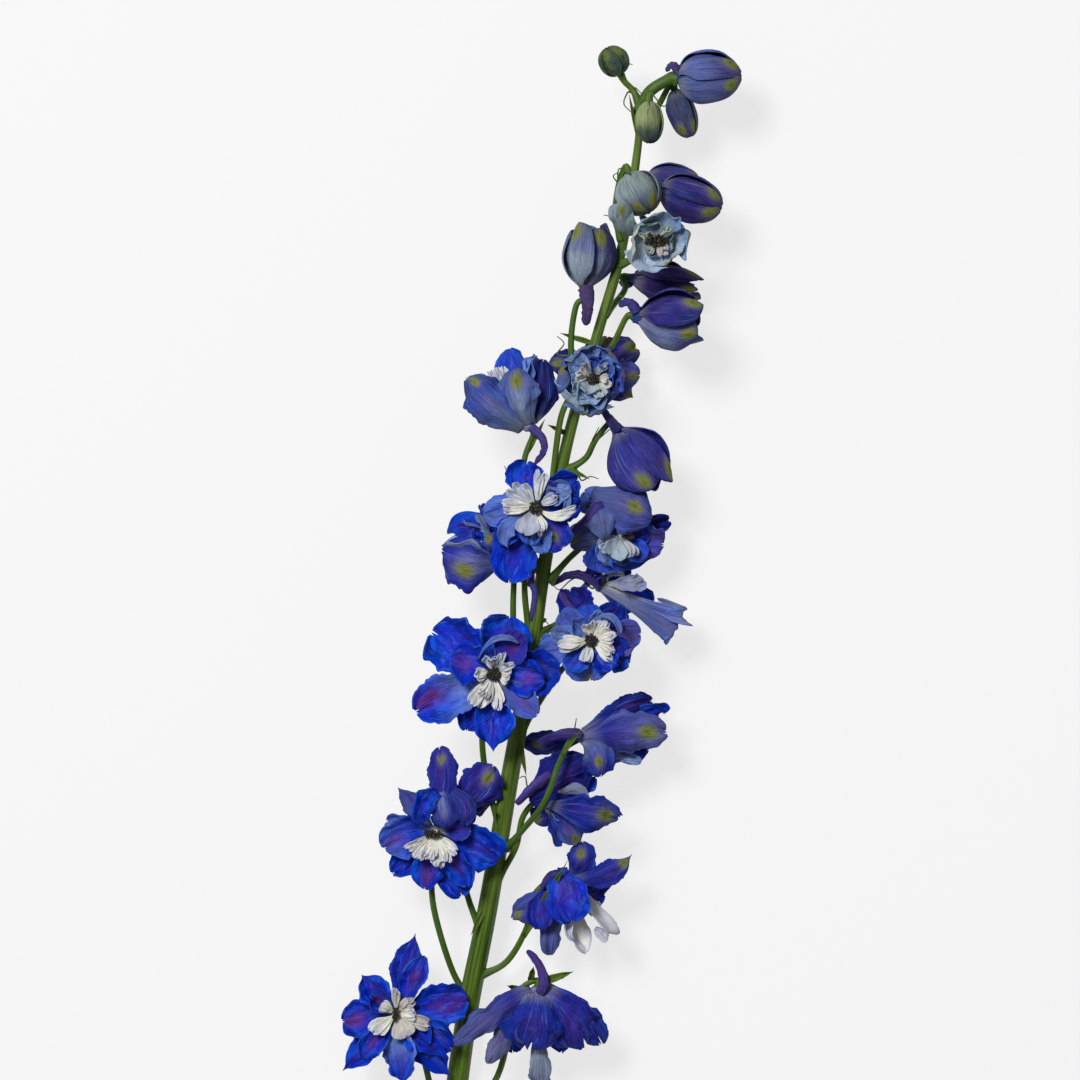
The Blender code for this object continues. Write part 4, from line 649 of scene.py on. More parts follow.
        petals=[back_up(-37.4, 100.4, 9, 12, root=(-39, 115.6, 2), via=(-38.6, 108.8, 9), age=0.85,
                    streak=0.6, violet=0.2, eye=0, claw=0.7),
                face_up(-45.6, 103, 8, 9, root=(-41, 115, 3), via=(-46.6, 110.6, 9), claw=0.7,
                    fold=1),
                back_up(-30, 102, 8, 8, root=(-35.6, 115.6, 3), via=(-30, 110.6, 8), age=0.8,
                    violet=0.4, eye=0, claw=0.7),
                reach(-29, 77, 1, 12, via=(-34, 88, 3), blush=0.6, blush_at=(0.5, 0)),
                reach(-27.4, 101, 4, 8, violet=0.7, age=0.8), reach(-25, 109.4, -1, 9)],
        bee=[reach(-53, 92, 7, 6, tan=0.2), reach(-45.8, 86.8, 8, 6), reach(-40.6, 84.6, 8, 6),
             reach(-33, 90.6, 7, 6), reach(-49.6, 88.4, 8, 5), reach(-36.2, 86.8, 8, 5),
             reach(-43.2, 88.4, 9, 5)],
        spur=(-36, 120, 22), anthers=(3.6, 1.7), anthers_at=(-0.6, 0.6)),
    open_bloom("floret_13", (10.6, 79, 28), (0.75, -0.45, 0.3),
        [(-25.2, 40), (-13.6, 46), (-5.4, 60), (-2.8, 73)],
        [back_up(17.2, 95.6, 2, 12, via=(16, 87, 4), navy=(0.3, 0), eye_at=(0.72, 0.1)),
         back_up(36.6, 90, 1, 11, via=(25.6, 81.6, 5), eye_at=(0.86, 0), violet=0.2, ends="point"),
         back_up(31.4, 78.4, -5, 11, via=(22, 75.6, -2), violet=0.7, navy=0.4, ends="ragged", eye=0),
         face_up(11.6, 64.6, 6, 18, root=(9, 84.6, 3), via=(9.6, 75.6, 9), blush=0.35,
             blush_at=(0.5, 0), blush_size=0.4),
         back_up(-11.4, 63.8, -3, 11, via=(-2.6, 69.6, 1), pale=0.2, eye_at=(0.86, 0)),
         back_up(4, 48.6, -3, 9, via=(4.6, 62, -1), pale=0.35, eye=0)],
        petals=[face_up(1, 60.2, 4, 11, root=(1.6, 76, 3), via=(-0.4, 68, 6), violet=0.5),
                reach(26.4, 74.6, -8, 10, via=(19, 73, -7)),
                reach(16, 62, -5, 10, via=(13, 70, -4), navy=0.4)],
        bee=[reach(19.6, 50.6, -1, 11, via=(15.6, 60, 1), ends="ragged", claw=0.8, blue=(0.6, 0)),
             reach(10.6, 55.6, -2, 9, via=(11, 63, 0), ends="ragged", blue=0.6, claw=0.8),
             reach(20.6, 60.6, -1, 9, via=(17, 66, 0), ends="ragged", blue=0.5, tan=0.2, claw=0.8),
             reach(22, 67, -4, 7, via=(17, 71, -2.5), tan=0.6)],
        spur=(0.6, 77, 34), spur_via=(5, 82.4, 34), spur_radius=2.4),
    open_bloom("floret_14", (-1, 35, 31), (0.05, -0.95, -0.2),
        [(-33.6, -22), (-17.6, -1), (-11.2, 24), (-7.6, 36), (-4, 40)],
        [back_up(-35.4, 13.2, 2, 10, via=(-17, 25.4, 6), violet=0.4, pale=(0, 0.3), eye=0, claw=0.9),
         back_up(-4.6, 12.4, 4, 26, via=(-2, 25, 10), ends="ragged", eye=0, claw=0.45, belly=0.85),
         back_up(18, 12.6, -1, 22, via=(11.4, 26, 6), ends="ragged", eye=0, violet=0.2, claw=0.45,
             belly=0.85),
         reach(10, 9.6, -15, 16), reach(-12, 9, -14, 16),
         back_up(25.4, 13, -3, 11, via=(15, 28, 3), ends="ragged", eye=0, claw=0.6, belly=0.8)],
        petals=[back_up(-20.4, 6.6, -2, 9, via=(-13, 19, 3), violet=0.3, pale=(0, 0.4),
                    tan=(0, 0.3)),
                face_up(-12.8, 4.4, -6, 8, via=(-8, 18, -2), age=0.95),
                back_up(-0.4, 3.6, -3, 9, via=(-0.8, 17, 1), pale=(1, 0.4), violet=(0, 0.6),
                    age=0.4)],
        bee=[reach(-5, 14.6, -3, 7), reach(2, 14, -5, 7), reach(-2, 15, -9, 7)],
        spur=(-5.2, 51.6, 33), spur_via=(-0.6, 46.6, 35), spur_from=(1.6, 39.5, 36),
        spur_radius=2.4),
    open_bloom("floret_15", (-57.4, 25.8, 26), (-0.1, 0.05, 1),
        [(-36.6, -30), (-43, -10), (-47.6, 9), (-54, 20.4)],
        [reach(-50, 58, -3, 13, ends="point", cup=0.4, violet=0.3),
         reach(-28.6, 31.6, -4, 18, blush=0.9, blush_at=(0.74, 0)),
         reach(-36, 0, -7, 14, ends="point", belly=0.45),
         reach(-54.6, -3.4, -3, 14, pale=(0.6, 0), ends="point", belly=0.45, fold=0.9),
         reach(-79, 2.8, -4, 12, ends="point", belly=0.5, fold=0.9),
         reach(-78.8, 22.8, -3, 17, blush=1, blush_at=(0.8, 0)),
         reach(-71.6, 41.4, -2, 13, ends="point", belly=0.6, fold=1),
         reach(-35, 11.4, -2, 15, blush=0.5)],
        petals=[reach(-46, 49, 4, 10, blush=0.8, cup=0.45), reach(-71.6, 8.4, 3, 10, blush=0.6),
                reach(-68.4, 34.4, 5, 10, blush=0.7, violet=0.3, ends="ragged", fold=1),
                reach(-45, 13, 2, 13)],
        bee=[reach(-64.6, 30.6, 6, 6, fold=0.2), reach(-67.4, 18, 6, 8, fold=0.1),
             reach(-48.8, 26.6, 6, 7, fold=0.2), reach(-53.4, 16.6, 4, 9, tan=0.4, fold=0.1),
             reach(-57.8, 38.4, 6, 4, tan=0.2), reach(-50.6, 32.4, 5, 5, tan=0.5),
             reach(-44, 21.4, 4, 6, tan=0.5, fold=0.1)],
        spur=(-68, 40, 12), anthers=(1.2, 2.8)),
]


def stalk_line(bloom, gap=0.5, extra=0):
    """The stalk's middle line, from inside the stem to just behind the bloom."""
    end = bloom.back(gap)
    flat = [np.array(p, dtype=float) for p in bloom.stalk]
    # the last stretch comes in along the bloom's own axis
    near = end - LAST_STRETCH * bloom.axis
    while len(flat) > 1 and np.linalg.norm(flat[-1][:2] - near[:2]) < LAST_STRETCH_ROOM:
        flat.pop()
    places = [p[:2] for p in flat]
    steps = [np.linalg.norm(b - a) for a, b in zip(places, places[1:] + [near[:2]])]
    start_height = stem_height(flat[0][1])
    gone, points = 0.0, []
    for place, step in zip(flat, steps):
        share = smooth_step(0.0, 1.0, gone / sum(steps))
        height = start_height + share * (near[2] - start_height)
        if len(place) == 3:
            height = place[2]
        points.append(np.array([place[0], place[1], height]))
        gone += step
    points += [near, end]
    return smooth_path(points, (3 + len(flat)) * (1 + extra))


def samples_of_line(line, radii):
    """Balls along a line, as points and radii."""
    points, sizes = [], []
    for a, b, ra, rb in zip(line, line[1:], radii, radii[1:]):
        count = max(1, int(np.linalg.norm(b - a) / BALL_SPACING))
        for k in range(count):
            points.append(a + (b - a) * k / count)
            sizes.append(ra + (rb - ra) * k / count)
    points.append(line[-1])
    sizes.append(radii[-1])
    return np.array(points), np.array(sizes)


# Where a blade is sampled along its length and across its width
SAMPLE_ROWS, SAMPLE_COLUMNS = 11, 7
SAMPLE_TIMES = np.repeat(np.linspace(0.09, 1.0, SAMPLE_ROWS), SAMPLE_COLUMNS)
SAMPLE_SIDES = np.tile(np.linspace(-1.0, 1.0, SAMPLE_COLUMNS), SAMPLE_ROWS)


def bend(blade, t, push):
    """Moves the blade's middle and tip so that the point at t moves by push."""
    at_middle, at_tip = 2 * t * (1 - t), t * t
    total = max(at_middle ** 2 + at_tip ** 2, 0.12)
    blade.middle = blade.middle + push * at_middle / total
    blade.tip = blade.tip + push * at_tip / total


def bud_radius(p, belly=0.5, ends=0.2):
    """A bud's radius over its greatest, at a share p of its length."""
    away = (p - belly) / np.where(p < belly, belly, 1 - belly)
    return np.maximum(ends, np.sqrt(np.maximum(0.0, 1 - np.abs(away) ** 2.2)))


def fixed_balls(blooms):
    """What the blades are bent clear of: stem, stalks, spurs and buds, as rows of balls."""
    points, sizes = samples_of_line(STEM_LINE[:, :3], STEM_LINE[:, 3] + STEM_CLEARANCE)
    fixed = [("stem", None, points, sizes)]
    for bloom in blooms:
        line = stalk_line(bloom)
        points, sizes = samples_of_line(line, np.full(len(line), STALK_RADIUS + STEM_CLEARANCE))
        far = np.linalg.norm(points - bloom.centre, axis=1) > STALK_HIDDEN
        fixed.append(("stem", bloom, points[far], sizes[far]))
        if bloom.spur:
            line = bloom.spur_line()
            radii = np.linspace(*SPUR_ENDS, len(line))
            points, sizes = samples_of_line(line, radii + SPUR_CLEARANCE)
            fixed.append((node_of(bloom), bloom, points, sizes))
        if bloom.kind == "bud":
            places = np.linspace(0.0, 1.0, 7)
            start = bloom.centre - RECEPTACLE_BACK * bloom.axis
            middle = start + places[:, None] * (bloom.tip - start)
            girth = bloom.radius * bud_radius(places)
            points, sizes = samples_of_line(middle, girth + STEM_CLEARANCE)
            fixed.append((bloom.name, bloom, points, sizes))
    return fixed


def settle(blooms):
    """Bends blades of different nodes clear of each other, and of stem, stalks, spurs and buds."""
    fixed = fixed_balls(blooms)
    fixed_low = np.array([(points - sizes[:, None]).min(axis=0) for _, _, points, sizes in fixed])
    fixed_high = np.array([(points + sizes[:, None]).max(axis=0) for _, _, points, sizes in fixed])
    blades = [(bloom, blade) for bloom in blooms for blade in bloom.blades]
    for _ in range(SETTLE_ROUNDS):
        clouds = [blade.place(SAMPLE_TIMES, SAMPLE_SIDES)[0] for _, blade in blades]
        lows = np.array([cloud.min(axis=0) - CLEARANCE for cloud in clouds])
        highs = np.array([cloud.max(axis=0) + CLEARANCE for cloud in clouds])
        moved = 0
        for i, (bloom, blade) in enumerate(blades):
            for k in np.flatnonzero(np.all((fixed_low < highs[i]) & (fixed_high > lows[i]), axis=1)):
                node, owner, points, sizes = fixed[k]
                if owner is not bloom or node == "stem":
                    moved += part_from(blade, clouds[i], points, sizes)
            for j in np.flatnonzero(np.all((lows < highs[i]) & (highs > lows[i]), axis=1)):
                other_bloom, other = blades[j]
                if j <= i or other.node == blade.node:
                    continue
                along = bloom.axis if other_bloom is bloom else UP
                sizes = np.full(len(clouds[j]), CLEARANCE)
                moved += part_from(blade, clouds[i], clouds[j], sizes, other, along)
            if not blade.rests:
                moved += lift_clear(blade, clouds[i])
        if not moved:
            break


def lift_clear(blade, cloud):
    """Lifts a blade off the surface; its lowest point is near its middle line."""
    t = SAMPLE_TIMES[:, None]
    line = arc(blade.root, blade.middle, blade.tip, t)
    depths = np.minimum(cloud[:, 2], line[:, 2])
    low = depths.argmin()
    lift = SURFACE_CLEARANCE - depths[low]
    if lift <= SMALLEST_STEP:
        return 0
    bend(blade, SAMPLE_TIMES[low], lift * UP)
    return 1


def part_from(blade, mine, theirs, sizes, other=None, along=None):
    """Pushes a blade away from other points where they come too near; tells if it did."""
    way = UP if along is None else along
    gap = mine[:, None, :] - theirs[None, :, :]
    height = gap @ way
    flat = np.sqrt(np.maximum(0.0, (gap ** 2).sum(axis=2) - height ** 2))
    reach = CLEARANCE + sizes[None, :]
    over = flat < reach
    free = np.sqrt(np.maximum(0.0, reach ** 2 - flat ** 2))
    touching = over & (np.abs(height) < free)
    if not touching.any():
        return 0
    above = 1.0 if np.clip(height[over], -DEEP, DEEP).sum() >= 0 else -1.0
    lack = np.where(touching, free - above * height, 0.0)
    i, j = np.unravel_index(lack.argmax(), lack.shape)
    if lack[i, j] < SMALLEST_STEP:
        return 0
    step = min(lack[i, j], LONGEST_STEP) * above * way
    if other is None:
        bend(blade, SAMPLE_TIMES[i], step)
    else:
        bend(blade, SAMPLE_TIMES[i], 0.5 * step)
        bend(other, SAMPLE_TIMES[j], -0.5 * step)
    return 1


def node_of(bloom):
    """The node that holds the bloom's sepals."""
    return f"{bloom.name}_sepals" if bloom.kind == "open" else bloom.name


NO_TINTS = (0.0, 0.0, 0.0, 0.0)


class Shape:
    """Vertices, faces and painted values of one piece, gathered part by part."""

    def __init__(self):
        self.points, self.faces, self.uvs = [], [], []
        self.looks, self.marks, self.tints = [], [], []
        self.count = 0

    def add(self, points, faces, look, marks, uv, tints=NO_TINTS):
        """Adds points and faces with their painted values.

        look: age, outer side, blush and eye strength; marks: eye, edge, cream and seed;
        tints: violet, navy, pale and tan, or for the white petals blue, green, none and tan.
        """
        points = np.asarray(points, dtype=float).reshape(-1, 3)
        size = len(points)
        self.points.append(points)
        self.faces += [group + self.count for group in faces]
        for rows, values in ((self.looks, look), (self.marks, marks), (self.tints, tints)):
            rows.append(np.broadcast_to(np.asarray(values, dtype=float), (size, 4)))
        self.uvs.append(np.broadcast_to(np.asarray(uv, dtype=float), (size, 2)))
        self.count += size


def grid_faces(rows, columns, ring=False):
    """Quads of a grid of points; a ring joins the last column to the first."""
    i, j = np.meshgrid(np.arange(rows - 1), np.arange(columns if ring else columns - 1),
                       indexing="ij")
    after = (j + 1) % columns
    quads = np.stack([i * columns + j, i * columns + after, (i + 1) * columns + after,
                      (i + 1) * columns + j], axis=-1)
    return quads.reshape(-1, 4)


def sheet(shape, middle, thickness, front, back, marks, uv, tints, normals=None):
    """A closed thin sheet round a grid of points, with its own look on each side."""
    rows, columns = middle.shape[:2]
    normals = grid_normals(middle) if normals is None else normals
    half = 0.5 * thickness[..., None] * normals
    above, below = middle + half, middle - half
    above[..., 2] = np.maximum(above[..., 2], FLOOR_CLEARANCE)
    below[..., 2] = np.maximum(below[..., 2], FLOOR_CLEARANCE - 0.2)
    size = rows * columns
    top = grid_faces(rows, columns)
    index = np.arange(size).reshape(rows, columns)
    rim = np.concatenate([index[0, :], index[1:, -1], index[-1, -2::-1], index[-2:0:-1, 0]])
    after = np.roll(rim, -1)
    border = np.stack([after, rim, rim + size, after + size], axis=-1)
    points = np.concatenate([above.reshape(-1, 3), below.reshape(-1, 3)])
    look = np.concatenate([front.reshape(-1, 4), back.reshape(-1, 4)])
    marks, uv, tints = (np.concatenate([grid.reshape(size, -1)] * 2) for grid in (marks, uv, tints))
    shape.add(points, [top, top[:, ::-1] + size, border], look, marks, uv, tints)


def grid_normals(points):
    """Normals of a grid of points, along rows crossed with columns."""
    along = np.gradient(points, axis=0)
    across = np.gradient(points, axis=1)
    return units(np.cross(across, along))


def tip_notches(kind, s, rng):
    """How much of the blade's end each column keeps, for a cut or ragged end."""
    phase = rng.uniform(-0.4, 0.4)
    if kind == "notch":
        return 1 - 0.13 * np.exp(-((s - 0.25 * phase) * 3.0) ** 2)
    if kind == "ragged":
        return 1 - 0.04 * (np.sin(4.5 * s + 5 * phase) + np.sin(8.0 * s + 9 * phase)) ** 2
    if kind == "point":
        return 1 - 0.10 * np.abs(s) ** 0.8
    return 1 - 0.015 * (np.sin(4.0 * s + 7 * phase) + np.sin(7.0 * s + 4 * phase)) ** 2


# An eye spot's radius and how much longer than wide it is; the reach in mm of the painted edge
EYE_RADIUS = 1.8
EYE_STRETCH = 1.35
MARK_REACH = 3.0


def along_petal(value, t):
    """A value, or a pair of values for the root and the tip, at the places t."""
    low, high = value if isinstance(value, tuple) else (value, value)
    return low + (high - low) * smooth_step(0.15, 0.85, t)


def looks_of(t, s, half, blade, age, kind):
    """The painted values of a petal at the grid t, s: two looks, one for each side, and marks."""
    look = blade.look
    front, back, marks, tints = np.zeros((4,) + t.shape + (4,))
    spot = look.get("blush_at", (0.62, 0.0))
    spread = look.get("blush_size", 0.26)
    away = ((t - spot[0]) / spread) ** 2 + ((s - spot[1]) / (1.6 * spread)) ** 2
    for side in (front, back):
        side[..., 0] = look.get("age", age)
        side[..., 2] = look.get("blush", 0.2) * np.exp(-away)
    back[..., 1] = 1.0
    front[..., 3] = look.get("eye_front", 0.0)
    back[..., 3] = look.get("eye", 1.0 if kind == "sepal" else 0.0)
    eye_t, eye_s = look.get("eye_at", (0.83, 0.0))
    far = np.hypot((t - eye_t) * blade.length / EYE_STRETCH, (s - eye_s) * half)
    marks[..., 0] = np.clip(far / look.get("eye_size", EYE_RADIUS) / MARK_REACH, 0.0, 1.0)
    edge = np.minimum((1 - np.abs(s)) * half, (1 - t) * blade.length)
    marks[..., 1] = np.clip(edge / MARK_REACH, 0.0, 1.0)
    foot = 0.0 if "root" in look else 0.3 if kind == "sepal" else 0.7
    cream = look.get("cream", 0.0) + foot * (1 - smooth_step(0.0, 0.30, t))
    marks[..., 2] = np.clip(cream, 0.0, 1.0)
    first, second = ("blue", "green") if kind == "bee" else ("violet", "navy")
    for channel, name in enumerate((first, second, "pale", "tan")):
        tints[..., channel] = along_petal(look.get(name, 0.0), t)
    streak = look.get("streak", 0.0) * np.exp(-(s * 3.2) ** 2) * (1 - smooth_step(0.55, 0.9, t))
    tints[..., 2] = np.clip(tints[..., 2] + streak, 0.0, 1.0)
    return front, back, marks, tints


def at_edges(s, power, waves, along, shift):
    """Waves that grow towards the left and the right edge, and are unlike on the two."""
    left, right = np.maximum(-s, 0.0), np.maximum(s, 0.0)
    return left ** power * waves.at(along, 0.0) + right ** power * waves.at(along, shift)


def half_width(t, blade, belly, fullness):
    """Half the blade's width at t: a narrow claw, a belly and a rounded or pointed end."""
    claw = max(blade.claw, NARROWEST_CLAW)
    grown = claw + (1 - claw) * smooth_step(0.0, belly, t)
    fall = np.clip((t - belly) / (1 - belly), 0.0, 1.0)
    return 0.5 * blade.width * grown * np.sqrt(np.maximum(1 - fall ** fullness, 0.0))


def petal(shape, blade, rng, age, kind, grid=PETAL_GRID):
    """One fine petal along a blade: ruffled, crumpled and curled, with a shaped end."""
    look = blade.look
    belly, ruffle, crumple, fold_size = FORMS[kind]
    t_row = 0.995 * (1 - (1 - np.linspace(0.0, 1.0, grid[0])) ** 1.2)
    t, s = np.meshgrid(t_row, np.linspace(-1.0, 1.0, grid[1]), indexing="ij")
    ends = look.get("ends", "ragged" if kind == "bee" else "round")
    keep = tip_notches(ends, s, rng)
    line, side, up = blade.frame(t * (1 - (1 - keep) * smooth_step(0.35, 1.0, t)))
    half = half_width(t, blade, look.get("belly", belly), FULLNESS[ends])
    y_mm, x_mm = t * blade.length, half * s
    free = smooth_step(0.15, 0.5, t)
    # the outline: uneven, with small jags
    wobble, jagged = Crumple(rng, 8.0), Crumple(rng, 2.6, 3)
    uneven = look.get("uneven", 0.10) * at_edges(s, 1, wobble, y_mm, 40.0)
    wide = 1 + (uneven + JAGS * at_edges(s, 2, jagged, y_mm, 30.0)) * free
    # waves along the edges and across the tip
    waves, tip_waves = Crumple(rng, 8.5, 4), Crumple(rng, 7.0, 3)
    frill = at_edges(s, 2, waves, y_mm, 50.0) * free
    frill = frill + 0.7 * tip_waves.at(x_mm, 0.0) * smooth_step(0.65, 1.0, t)
    # soft folds, small crumples and sharper creases all over
    folds, small, sharp = Crumple(rng, 8.0, 4), Crumple(rng, 2.8, 5), Crumple(rng, 5.5, 3)
    crumpled = folds.at(x_mm, 0.5 * y_mm) + 0.20 * small.at(x_mm, 0.45 * y_mm)
    crumpled = look.get("crumple", crumple) * crumpled
    crease = 0.45 if kind == "bee" else 0.30 + 0.50 * look.get("age", age)
    crumpled = crumpled + crease * (0.5 - np.abs(sharp.at(x_mm, 0.4 * y_mm)))
    pleats = 0.08 * np.sin(2 * math.pi * (2.6 * s + 0.12 * wobble.at(y_mm, 9.0)))
    # one side folded up, the tip curled, and a groove along the middle
    fold_side, fold = rng.choice([-1.0, 1.0]), look.get("fold", rng.uniform(0.0, 0.7))
    folded = fold_size * fold * half * smooth_step(0.30, 1.0, fold_side * s) ** 1.4 * free
    curl = look.get("curl", rng.uniform(-1.2, 2.0)) * smooth_step(0.60, 1.0, t) ** 1.5
    groove = 0.35 * np.exp(-(s * 5) ** 2) * smooth_step(0.05, 0.4, t)
    groove = groove * (1 - smooth_step(0.8, 1.0, t))
    height = look.get("cup", blade.cup) * half * s * s + look.get("ruffle", ruffle) * frill
    height = height + (crumpled + pleats) * free + curl - groove + folded
    middle = line + side * (x_mm * wide)[..., None] + up * height[..., None]
    lowest = REST_BLADE_HEIGHT if blade.rests else LOW_BLADE_HEIGHT
    middle[..., 2] = np.maximum(middle[..., 2], lowest)
    thinner = (1 - 0.45 * np.abs(s) ** 4) * (1 - 0.4 * smooth_step(0.9, 1.0, t))
    front, back, marks, tints = looks_of(t, s, half, blade, age, kind)
    marks[..., 3] = rng.uniform(0.0, 1.0)
    uv = np.stack([0.5 + 0.5 * s, t], axis=-1)
    sheet(shape, middle, PETAL_THICKNESS * thinner, front, back, marks, uv, tints)


def tube(shape, rings, first, last, look, marks, tints=NO_TINTS):
    """A closed surface over a grid of rings, with a point in the middle of each end."""
    rows, sides = rings.shape[:2]
    k = np.arange(sides)
    after = (k + 1) % sides
    top = (rows - 1) * sides
    start_fan = np.stack([np.full(sides, rows * sides), after, k], axis=-1)
    end_fan = np.stack([np.full(sides, rows * sides + 1), top + k, top + after], axis=-1)
    faces = [grid_faces(rows, sides, ring=True), start_fan, end_fan]
    uv = np.stack([np.tile(k / sides, rows), np.repeat(np.linspace(0, 1, rows), sides)], axis=-1)
    uv = np.concatenate([uv, [[0.5, 0.0], [0.5, 1.0]]])
    points = np.concatenate([rings.reshape(-1, 3), [first, last]])
    shape.add(points, faces, look, marks, uv, tints)


def ring_body(shape, line, radii, sides, look, marks, ribs=0, relief=0.0, rng=None, rough=0.0,
              tints=NO_TINTS):
    """A closed tube along a line, ribbed and uneven where that is asked for."""
    line, radii = np.asarray(line, dtype=float), np.asarray(radii, dtype=float)
    runs = units(np.gradient(line, axis=0))
    across = np.cross(runs[0], UP)
    if np.linalg.norm(across) < 0.2:
        across = np.cross(runs[0], [0.0, 1.0, 0.0])
    angles = np.linspace(0.0, 2 * math.pi, sides, endpoint=False)
    cosines, sines = np.cos(angles), np.sin(angles)
    noise = Crumple(rng, 1.6) if rng is not None else None
    rings = []
    for k, (centre, run, radius) in enumerate(zip(line, runs, radii)):
        across = unit(across - np.dot(across, run) * run)
        out = radius * (1 + relief * np.cos(ribs * angles))
        if noise is not None:
            out = out + rough * noise.at(cosines, sines + 0.35 * k)
        around = cosines[:, None] * across + sines[:, None] * np.cross(run, across)
        rings.append(centre + out[:, None] * around)
    tube(shape, np.array(rings), line[0], line[-1], look, marks, tints)


def lump(shape, centre, axis, length, radius, look, marks, rng, rough):
    """A small closed rounded body along an axis."""
    places = np.linspace(0.0, 1.0, 6)
    line = np.asarray(centre) + np.outer((places - 0.5) * length, unit(axis))
    radii = radius * np.sqrt(np.maximum(0.05, 1 - (2 * places - 1) ** 2))
    ring_body(shape, line, radii, 8, look, marks, rng=rng, rough=rough)


def wrapped(shape, bloom, line, rng, span, age, twist=0.22, open_end=0.0, ruffle=0.0, eye=1.0,
            cream=0.0, eye_at=0.86, streak=0.0, tints=NO_TINTS, end_tints=None):
    """A sepal bent round a bud: its middle line is swept round the bud's axis."""
    t, s = np.meshgrid(np.linspace(0.0, 1.0, len(line)), np.linspace(-1.0, 1.0, WRAP_COLUMNS),
                       indexing="ij")
    height = (line - bloom.centre) @ bloom.axis
    radial = line - bloom.centre - height[:, None] * bloom.axis
    reach = np.linalg.norm(radial, axis=1)
    way = units(radial)
    other = np.cross(bloom.axis, way)
    # how far round it goes: less at the foot, and at an open end less at the tip too
    narrow = np.sqrt(np.maximum(1 - (np.maximum(t - 0.62, 0.0) / 0.385) ** 2.6, 0.0))
    narrow = (1 - open_end) + open_end * narrow
    angle = span * s * narrow * (0.55 + 0.45 * smooth_step(0.0, 0.35, t))
    turn = np.cos(angle)[..., None] * way[:, None, :] + np.sin(angle)[..., None] * other[:, None, :]
    # how far out it is: folded, creased, frilled at the end, with a keel
    folds, waves = Crumple(rng, 7.0, 4), Crumple(rng, 0.6, 3)
    width = reach[:, None] * span * s
    creases = Crumple(rng, 4.5, 3)
    rough = 0.24 * folds.at(width, t * bloom.radius)
    rough = rough + 0.25 * (0.5 - np.abs(creases.at(width, 3.0 * t)))
    rough = rough * smooth_step(0.1, 0.4, t)
    frill = ruffle * np.abs(s) ** 1.5 * waves.at(t, 0.4 * s) * smooth_step(0.55, 1.0, t)
    keel = 0.05 * bloom.radius * np.exp(-(s * 4) ** 2)
    size = reach[:, None] * (1 + twist * s) + rough + frill + keel
    lower = -0.10 * bloom.radius * s * s * t * (1 + 1.5 * open_end)
    middle = bloom.centre + (height[:, None] + lower)[..., None] * bloom.axis
    middle = middle + size[..., None] * turn
    middle[..., 2] = np.maximum(middle[..., 2], LOW_BLADE_HEIGHT)
    normals = grid_normals(middle)
    if np.mean(np.einsum("ijk,ik->ij", normals, way)[:, WRAP_COLUMNS // 2]) > 0:
        middle, normals, t, s = middle[:, ::-1], -normals[:, ::-1], t[:, ::-1], s[:, ::-1]
    front, back, marks = np.zeros((3,) + t.shape + (4,))
    for side in (front, back):
        side[..., 0], side[..., 2] = age, 0.15
    front[..., 1] = 0.5 if open_end else 1.0
    back[..., 1], back[..., 3] = 1.0, eye
    length = np.linalg.norm(np.diff(line, axis=0), axis=1).sum()
    far = np.hypot((t - eye_at) * length / 1.7, width) / (0.16 * bloom.radius + 0.9)
    marks[..., 0] = np.clip(far / MARK_REACH, 0.0, 1.0)
    edge = np.minimum((1 - np.abs(s)) * np.maximum(reach[:, None], 1.0) * span, (1 - t) * length)
    marks[..., 1] = np.clip(edge / MARK_REACH, 0.0, 1.0)
    marks[..., 2] = np.clip(cream + 0.25 * (1 - smooth_step(0.0, 0.25, t)), 0.0, 1.0)
    marks[..., 3] = rng.uniform(0.0, 1.0)
    blend = smooth_step(0.45, 0.85, t)[..., None]
    ends = tints if end_tints is None else end_tints
    painted = (1 - blend) * np.array(tints) + blend * np.array(ends)
    stripe = streak * np.exp(-(s * 3.0) ** 2) * (1 - smooth_step(0.5, 0.8, t))
    painted[..., 2] = np.clip(painted[..., 2] + stripe, 0.0, 1.0)
    uv = np.stack([0.5 + 0.5 * s, t], axis=-1)
    sheet(shape, middle, np.full(t.shape, PETAL_THICKNESS), front, back, marks, uv, painted, normals)


def spur(shape, bloom, rng, age):
    """The wrinkled, tapering spur behind a bloom."""
    details = bloom.details
    line = smooth_path(bloom.spur_line(), 30)
    places = np.linspace(0.0, 1.0, len(line))
    girth = details.get("spur_radius", SPUR_RADIUS)
    radii = girth * (1 - 0.50 * places) * np.sqrt(np.clip((1.03 - places) * 8, 0.0, 1.0))
    tints = (0.15, details.get("spur_navy", 0.35), 0.1, 0.0)
    ring_body(shape, line, np.maximum(radii, 0.25), 16, (age, 1.0, 0.3, 0.0),
              (1.0, 0.6, 0.0, rng.uniform()), ribs=5, relief=0.10, rng=rng, rough=0.06 * girth,
              tints=tints)


def receptacle(shape, bloom, age):
    """The ribbed knob behind the petals, and the feet of petals that start away from it."""
    line = bloom.centre + np.outer(np.linspace(-RECEPTACLE_BACK, RECEPTACLE_FRONT, 7), bloom.axis)
    radii = RECEPTACLE_RADIUS * np.array([0.72, 0.94, 1.0, 1.0, 0.96, 0.86, 0.6])
    ring_body(shape, line, radii, 18, (age, 1.0, 0.0, 0.0), (1.0, 1.0, 0.35, 0.5), ribs=5,
              relief=0.06)
    for foot in bloom.feet:
        ring_body(shape, smooth_path([bloom.centre, foot], 5), np.full(5, 0.8), 8,
                  (age, 1.0, 0.0, 0.0), (1.0, 1.0, 0.0, 0.5))


